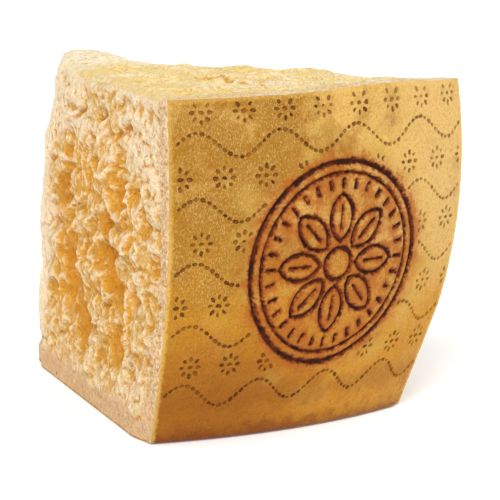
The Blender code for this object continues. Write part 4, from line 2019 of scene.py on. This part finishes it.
@dataclass(frozen=True)
class Pricks:
    """Rows of waves and small flowers, pricked into the rind with a blunt pin."""

    wave_length: float = 34 * MM
    wave_height: float = 4.6 * MM
    row_pitch: float = 24 * MM
    first_row: float = 19 * MM
    spacing: float = 2.6 * MM
    flower_pitch: float = 17 * MM
    flower_radius: float = 3.5 * MM
    flower_pins: int = 8
    half_long: float = 1.0 * MM
    half_wide: float = 0.66 * MM
    depth: float = 0.8 * MM
    from_stamp: float = 2.6 * MM
    from_edge: float = 2.2 * MM
    from_base: float = 4 * MM

    def wave(self, start: float, end: float, height: float) -> Iterable[Triple]:
        """Pricks along one wave: each one's place across and up, and its turn.

        Args:
            start: where it starts.
            end: where it ends.
            height: of its middle line.

        Returns:
            The pricks, one after another.
        """
        across = start
        while across < end:
            turn = 2.0 * math.pi * across / self.wave_length
            slope = self.wave_height * 2.0 * math.pi / self.wave_length * math.cos(turn)
            yield across, height + self.wave_height * math.sin(turn), math.atan(slope)
            across += self.spacing / math.hypot(1.0, slope)

    def flower(self, across: float, height: float) -> Iterable[Triple]:
        """Pricks of one flower: a ring of them pointing outwards.

        Args:
            across: where its middle is.
            height: of its middle.

        Returns:
            The pricks, one after another.
        """
        yield across, height, 0.0
        for pin in range(self.flower_pins):
            turn = 2.0 * math.pi * pin / self.flower_pins
            out = self.flower_radius
            yield across + out * math.cos(turn), height + out * math.sin(turn), turn

    def all(self, half_width: float, top: float, stamp: Stamp) -> list[Triple]:
        """Every prick on the rind that keeps clear of the stamp and of the rind's edges.

        Args:
            half_width: half the rind's width.
            top: the rind's height.
            stamp: the burnt mark.

        Returns:
            Each one's place across and up, and its turn.
        """
        found = []
        row = 0
        while self.first_row + row * self.row_pitch < top + self.row_pitch:
            height = self.first_row + row * self.row_pitch
            found.extend(self.wave(-half_width - self.spacing, half_width + self.spacing, height))
            across = -half_width + (0.25 if row % 2 else 0.75) * self.flower_pitch
            while across < half_width:
                found.extend(self.flower(across, height + self.row_pitch / 2.0))
                across += self.flower_pitch
            row += 1
        return [
            (across, height, turn)
            for across, height, turn in found
            if math.hypot(across - stamp.across, height - stamp.height) > stamp.reach() + self.from_stamp
            and abs(across) < half_width - self.from_edge
            and self.from_base < height < top - self.from_edge
        ]


@dataclass
class RindSkin(Piece):
    """The thin rind over the wheel's side and base, with its pricks and its stamp."""

    cut: Cut
    shift: Vector
    name: str = "golden_rind"
    slot: str = "rind"
    sharp: float = 60.0
    cells: tuple[int, int, int] = (104, 30, 96)
    finer: Pair = (1.3 * MM, 0.4 * MM)
    whole_border: float = 1.6 * MM
    whole_foot: float = 0.02
    thickness: float = 1.8 * MM
    taper: float = 2.2 * MM
    heel_round: float = 1.6 * MM
    groove: float = 1.0 * MM
    groove_wall: Pair = (-0.7 * MM, 0.35 * MM)
    prick_wall: Pair = (-0.5 * MM, 0.2 * MM)
    groove_lip: Triple = (0.12 * MM, 0.9 * MM, 0.6 * MM)
    prick_lip: Triple = (0.1 * MM, 0.45 * MM, 0.35 * MM)
    far: float = 50 * MM
    middle: Triple = (0.0, -120 * MM, 70 * MM)
    base_long: float = 180 * MM
    stamp: Stamp = Stamp()
    pricks: Pricks = Pricks()

    def flat(self, lattice: Array) -> tuple[Array, Array]:
        """Distance round the belly from the middle, and height above the base."""
        return (2.0 * lattice[:, 0] - 1.0) * self.half_width(), lattice[:, 2] * self.cut.height

    def from_border(self, across: Array, height: Array) -> Array:
        """How far each place is from the rind's left, right or upper border."""
        return np.minimum(self.half_width() - np.abs(across), self.cut.height - height)

    def half_width(self) -> float:
        """Half the rind's width, round the belly."""
        return self.cut.half_angle * self.cut.wheel.belly_radius

    def pin_distances(self, lattice: Array) -> tuple[Array, Array]:
        """How far each place is outside the nearest prick, and how dark that prick is.

        Args:
            lattice: N x 3 places of the lattice, 0 to 1.

        Returns:
            Distances in metres, and shares from 0 to 1.
        """
        pins = self.pricks.all(self.half_width(), self.cut.height, self.stamp)
        tree = kdtree.KDTree(len(pins))
        for index, (across, height, _) in enumerate(pins):
            tree.insert((across, height, 0.0), index)
        tree.balance()
        across, height = self.flat(lattice)
        distance = np.full(len(lattice), 5 * MM)
        darkness = np.zeros(len(lattice))
        shade = np.random.default_rng(5).uniform(0.5, 1.0, len(pins))
        size = np.random.default_rng(6).uniform(0.8, 1.15, len(pins))
        for index in np.flatnonzero(at_rind(lattice)[0]):
            _, pin, _ = tree.find((across[index], height[index], 0.0))
            at_across, at_height, turn = pins[pin]
            along, beside = turned(across[index] - at_across, height[index] - at_height, turn)
            long, wide = self.pricks.half_long * size[pin], self.pricks.half_wide * size[pin]
            distance[index] = (math.hypot(along / long, beside / wide) - 1.0) * wide
            darkness[index] = shade[pin]
        return distance, darkness

    def open_skin(self) -> Lattice:
        """The rind's two faces of the lattice, an outer one cut finer at the marks and an inner one."""
        lattice = Lattice(*self.cells)
        kept = set(lattice.side_faces(1, 1.0)) | set(lattice.side_faces(2, 0.0))
        gone = [face for face in lattice.grid.faces if face not in kept]
        bmesh.ops.delete(lattice.grid, geom=gone, context="FACES")
        inner = lattice.grid.verts.layers.int.new("inner")
        whole = list(lattice.grid.verts) + list(lattice.grid.edges) + list(lattice.grid.faces)
        for item in bmesh.ops.duplicate(lattice.grid, geom=whole)["geom"]:
            if isinstance(item, bmesh.types.BMVert):
                item[inner] = 1
        for reach in self.finer:
            self.cut_finer(lattice, reach)
        return lattice

    @staticmethod
    def inner_places(grid: bmesh.types.BMesh) -> Array:
        """Which of the grid's vertices are on the inner face."""
        layer = grid.verts.layers.int["inner"]
        return np.array([vert[layer] == 1 for vert in grid.verts])

    def cut_finer(self, lattice: Lattice, reach: float) -> None:
        """Halves the outer cells that lie this near to a mark, but none along the borders.

        Args:
            lattice: the skin, which is cut.
            reach: in metres.
        """
        lattice.grid.verts.index_update()
        places = lattice.places()
        across, height = self.flat(places)
        marks = np.minimum(self.stamp.distance(across, height), self.pin_distances(places)[0])
        near = (np.abs(marks) < reach) | (marks < 0.0)
        near &= at_rind(places)[0] & (places[:, 2] > self.whole_foot)
        near &= self.from_border(across, height) > self.whole_border
        near &= ~self.inner_places(lattice.grid)
        marked = [f for f in lattice.grid.faces if len(f.verts) == 4 and any(near[v.index] for v in f.verts)]
        edges = list(dict.fromkeys(edge for face in marked for edge in face.edges))
        bmesh.ops.subdivide_edges(lattice.grid, edges=edges, cuts=1, use_grid_fill=True)

    def pressed(self, from_border: Array, stamp: Array, prick: Array) -> Array:
        """How deep each place is pressed in, with a low lip round each mark.

        Args:
            from_border: distance from the rind's borders, near which the pricks are shallow.
            stamp: distance from the burnt lines.
            prick: distance from the nearest prick.

        Returns:
            Depths in metres, below 0 on the lips.
        """
        shallow = at_least(0.15, smooth_step(0.5 * MM, 4.5 * MM, from_border))
        depth = self.groove * falling_step(*self.groove_wall, stamp)
        depth += shallow * self.pricks.depth * falling_step(*self.prick_wall, prick)
        for distance, (rise, middle, width), share in (
            (prick, self.prick_lip, shallow),
            (stamp, self.groove_lip, 1.0),
        ):
            depth -= rise * np.exp(-(((distance - middle) / width) ** 2)) * share
        return depth

    def build(self) -> bpy.types.Object:
        """Builds the skin, presses the marks into it, closes it inside and dresses it."""
        lattice = self.open_skin()
        grid = lattice.grid
        cells = lattice.places()
        places = Places(self.cut, cells)
        across, height = self.flat(cells)
        inner = self.inner_places(grid)
        on_side = at_rind(cells)[0] & ~inner
        stamp = np.where(on_side, self.stamp.distance(across, height), self.far)
        prick, darkness = self.pin_distances(cells)
        outward = np.stack([np.sin(places.angle), -np.cos(places.angle), 0.0 * places.angle], axis=1)
        heel = outward + np.array([0.0, 0.0, -1.0])
        points = places.point + places.broad_move(np.zeros(len(cells)))
        points += places.crumbled(places.under_side, places.height, heel, self.heel_round)
        depth = self.pressed(self.from_border(across, height), stamp, prick)
        points -= outward * np.where(on_side, depth, 0.0)[:, None]
        lattice.move_to(points + np.array(self.shift))
        self.close_inside(grid, inner, places)
        bmesh.ops.triangulate(grid, faces=grid.faces)
        mesh = self.mesh_of(grid, self.sharp)
        self.dress(mesh, cells, stamp, prick, darkness)
        return self.ride(mesh)

    def close_inside(self, grid: bmesh.types.BMesh, inner: Array, places: Places) -> None:
        """Draws the inner face in, more at its borders so that the paste hides them, and joins it on.

        Args:
            grid: the skin, which is closed.
            inner: which vertices are inside.
            places: the wedge's places.
        """
        middle = Vector(self.middle) + self.shift
        for vert, hidden, side, base in zip(grid.verts, inner, places.under_side, places.height):
            if not hidden:
                continue
            if side < 1e-6:
                radial = Vector((vert.co.x - self.shift.x, vert.co.y - self.shift.y, 0.0)).normalized()
                vert.co -= radial * self.thickness
            if base < 1e-6:
                vert.co.z += self.thickness
            if vert.is_boundary:
                vert.co += (middle - vert.co).normalized() * self.taper
        layer = grid.verts.layers.int["inner"]
        bmesh.ops.reverse_faces(grid, faces=[face for face in grid.faces if face.verts[0][layer] == 1])
        bmesh.ops.bridge_loops(grid, edges=[edge for edge in grid.edges if edge.is_boundary])
        bmesh.ops.reverse_faces(grid, faces=grid.faces)

    def dress(self, mesh: bpy.types.Mesh, cells: Array, *marks: Array) -> None:
        """Stores the marks and flat coordinates on the mesh and gives it its material.

        Args:
            mesh: the skin's mesh.
            cells: N x 3 places of the lattice, 0 to 1.
            marks: distances from the stamp and from the pricks, and how dark the pricks are.
        """
        stamp, prick, darkness = marks
        across, height = self.flat(cells)
        height = np.where(cells[:, 2] > 1e-6, height, -self.base_long * (1.0 - cells[:, 1]))
        for name, values in (
            ("stamp_mm", stamp / MM),
            ("prick_mm", prick / MM),
            ("prick_dark", darkness),
            ("prick_pale", 1.3 - darkness),
            ("across_mm", across / MM),
            ("border_mm", self.from_border(across, height) / MM),
            ("height_mm", height / MM),
        ):
            self.measure(mesh, name, values)
        layer = mesh.uv_layers.new(name="flat")
        loops = np.empty(len(mesh.loops), dtype=np.int64)
        mesh.loops.foreach_get("vertex_index", loops)
        sheet = np.stack([across, height], axis=1)[loops]
        layer.data.foreach_set("uv", sheet.astype(np.float32).ravel())
        mesh.materials.append(RindFinish().material())


# ---- the studio ----


@dataclass(frozen=True)
class Lamp:
    """A distant soft lamp: where it stands from the wedge, how wide it looks and its strength."""

    name: str
    azimuth: float
    elevation: float
    softness: float
    strength: float
    colour: Colour = (1.0, 1.0, 1.0)

    def build(self) -> None:
        """Hangs the lamp, turned towards the wedge."""
        data = bpy.data.lights.new(self.name, "SUN")
        data.energy, data.color = self.strength * math.pi, self.colour
        data.angle = math.radians(self.softness)
        lamp = bpy.data.objects.new(self.name, data)
        turn, rise = math.radians(self.azimuth), math.radians(self.elevation)
        back = Vector((math.sin(turn) * math.cos(rise), -math.cos(turn) * math.cos(rise), math.sin(rise)))
        lamp.location = back * 2.0
        lamp.rotation_euler = (-back).to_track_quat("-Z", "Y").to_euler()
        bpy.context.scene.collection.objects.link(lamp)


@dataclass(frozen=True)
class Studio:
    """Pale floor, soft lamps and the camera at the photo's viewing angle."""

    shift: Vector
    camera_place: Triple = (-0.65157066, -1.04082378, 0.23200492)
    camera_right: Triple = (0.80560674, -0.59242226, -0.00580042)
    camera_up: Triple = (0.09288862, 0.11663322, 0.98882172)
    camera_back: Triple = (-0.58512348, -0.79714024, 0.14898979)
    lens: float = 206.63
    floor_size: float = 12.0
    sky: float = 0.21
    sky_colour: Colour = (1.0, 0.93, 0.82)
    lamps: tuple[Lamp, ...] = (
        Lamp("side", 60.0, 32.0, 80.0, 0.38, (1.0, 0.99, 0.97)),
        Lamp("front", -44.0, 32.0, 22.0, 0.92, (0.99, 1.0, 1.05)),
        Lamp("left", -130.0, 24.0, 60.0, 0.17, (1.0, 0.99, 0.95)),
        Lamp("right", 128.0, 30.0, 80.0, 0.14, (1.0, 0.98, 0.94)),
        Lamp("top", -20.0, 82.0, 50.0, 0.2),
    )

    def camera(self) -> None:
        """Sets the camera where the photo was taken from."""
        data = bpy.data.cameras.new("camera")
        data.lens, data.sensor_width = self.lens, 36.0
        data.clip_start, data.clip_end = 0.05, 50.0
        camera = bpy.data.objects.new("camera", data)
        turn = Matrix((self.camera_right, self.camera_up, self.camera_back)).transposed()
        camera.matrix_world = Matrix.Translation(Vector(self.camera_place) + self.shift) @ turn.to_4x4()
        bpy.context.scene.collection.objects.link(camera)
        bpy.context.scene.camera = camera

    def floor(self) -> None:
        """Lays the floor just under the base."""
        sheet = bmesh.new()
        bmesh.ops.create_grid(sheet, x_segments=1, y_segments=1, size=self.floor_size / 2.0)
        mesh = bpy.data.meshes.new("floor")
        sheet.to_mesh(mesh)
        sheet.free()
        mesh.materials.append(FloorFinish().material())
        floor = bpy.data.objects.new("floor", mesh)
        floor.location.z = CAD_BOX[0].z - 0.2 * MM
        bpy.context.scene.collection.objects.link(floor)

    def build(self) -> None:
        """Sets the floor, the lamps, the world's light and the camera."""
        self.floor()
        for lamp in self.lamps:
            lamp.build()
        world = bpy.data.worlds.new("studio")
        world.use_nodes = True
        sky = world.node_tree.nodes["Background"]
        sky.inputs["Color"].default_value = (*self.sky_colour, 1.0)
        sky.inputs["Strength"].default_value = self.sky
        bpy.context.scene.world = world
        bpy.context.scene.view_settings.view_transform = "Standard"
        self.camera()


def main() -> None:
    """Builds the studio and the pieces, and reports each piece."""
    logging.basicConfig(level=logging.INFO, format="%(message)s")
    noise.seed_set(NOISE_SEED)
    cut = Cut()
    shift = Vector((0.0, CAD_BOX[0].y + cut.wheel.belly_radius, 0.0))
    Studio(shift).build()
    paste = TornPaste(cut, shift).build()
    for built in (paste, RindSkin(cut, shift).build(), Crumbs(paste, cut, shift).build()):
        log.info("%s: %d triangles", built.name, len(built.data.polygons))


if __name__ == "__main__":
    main()
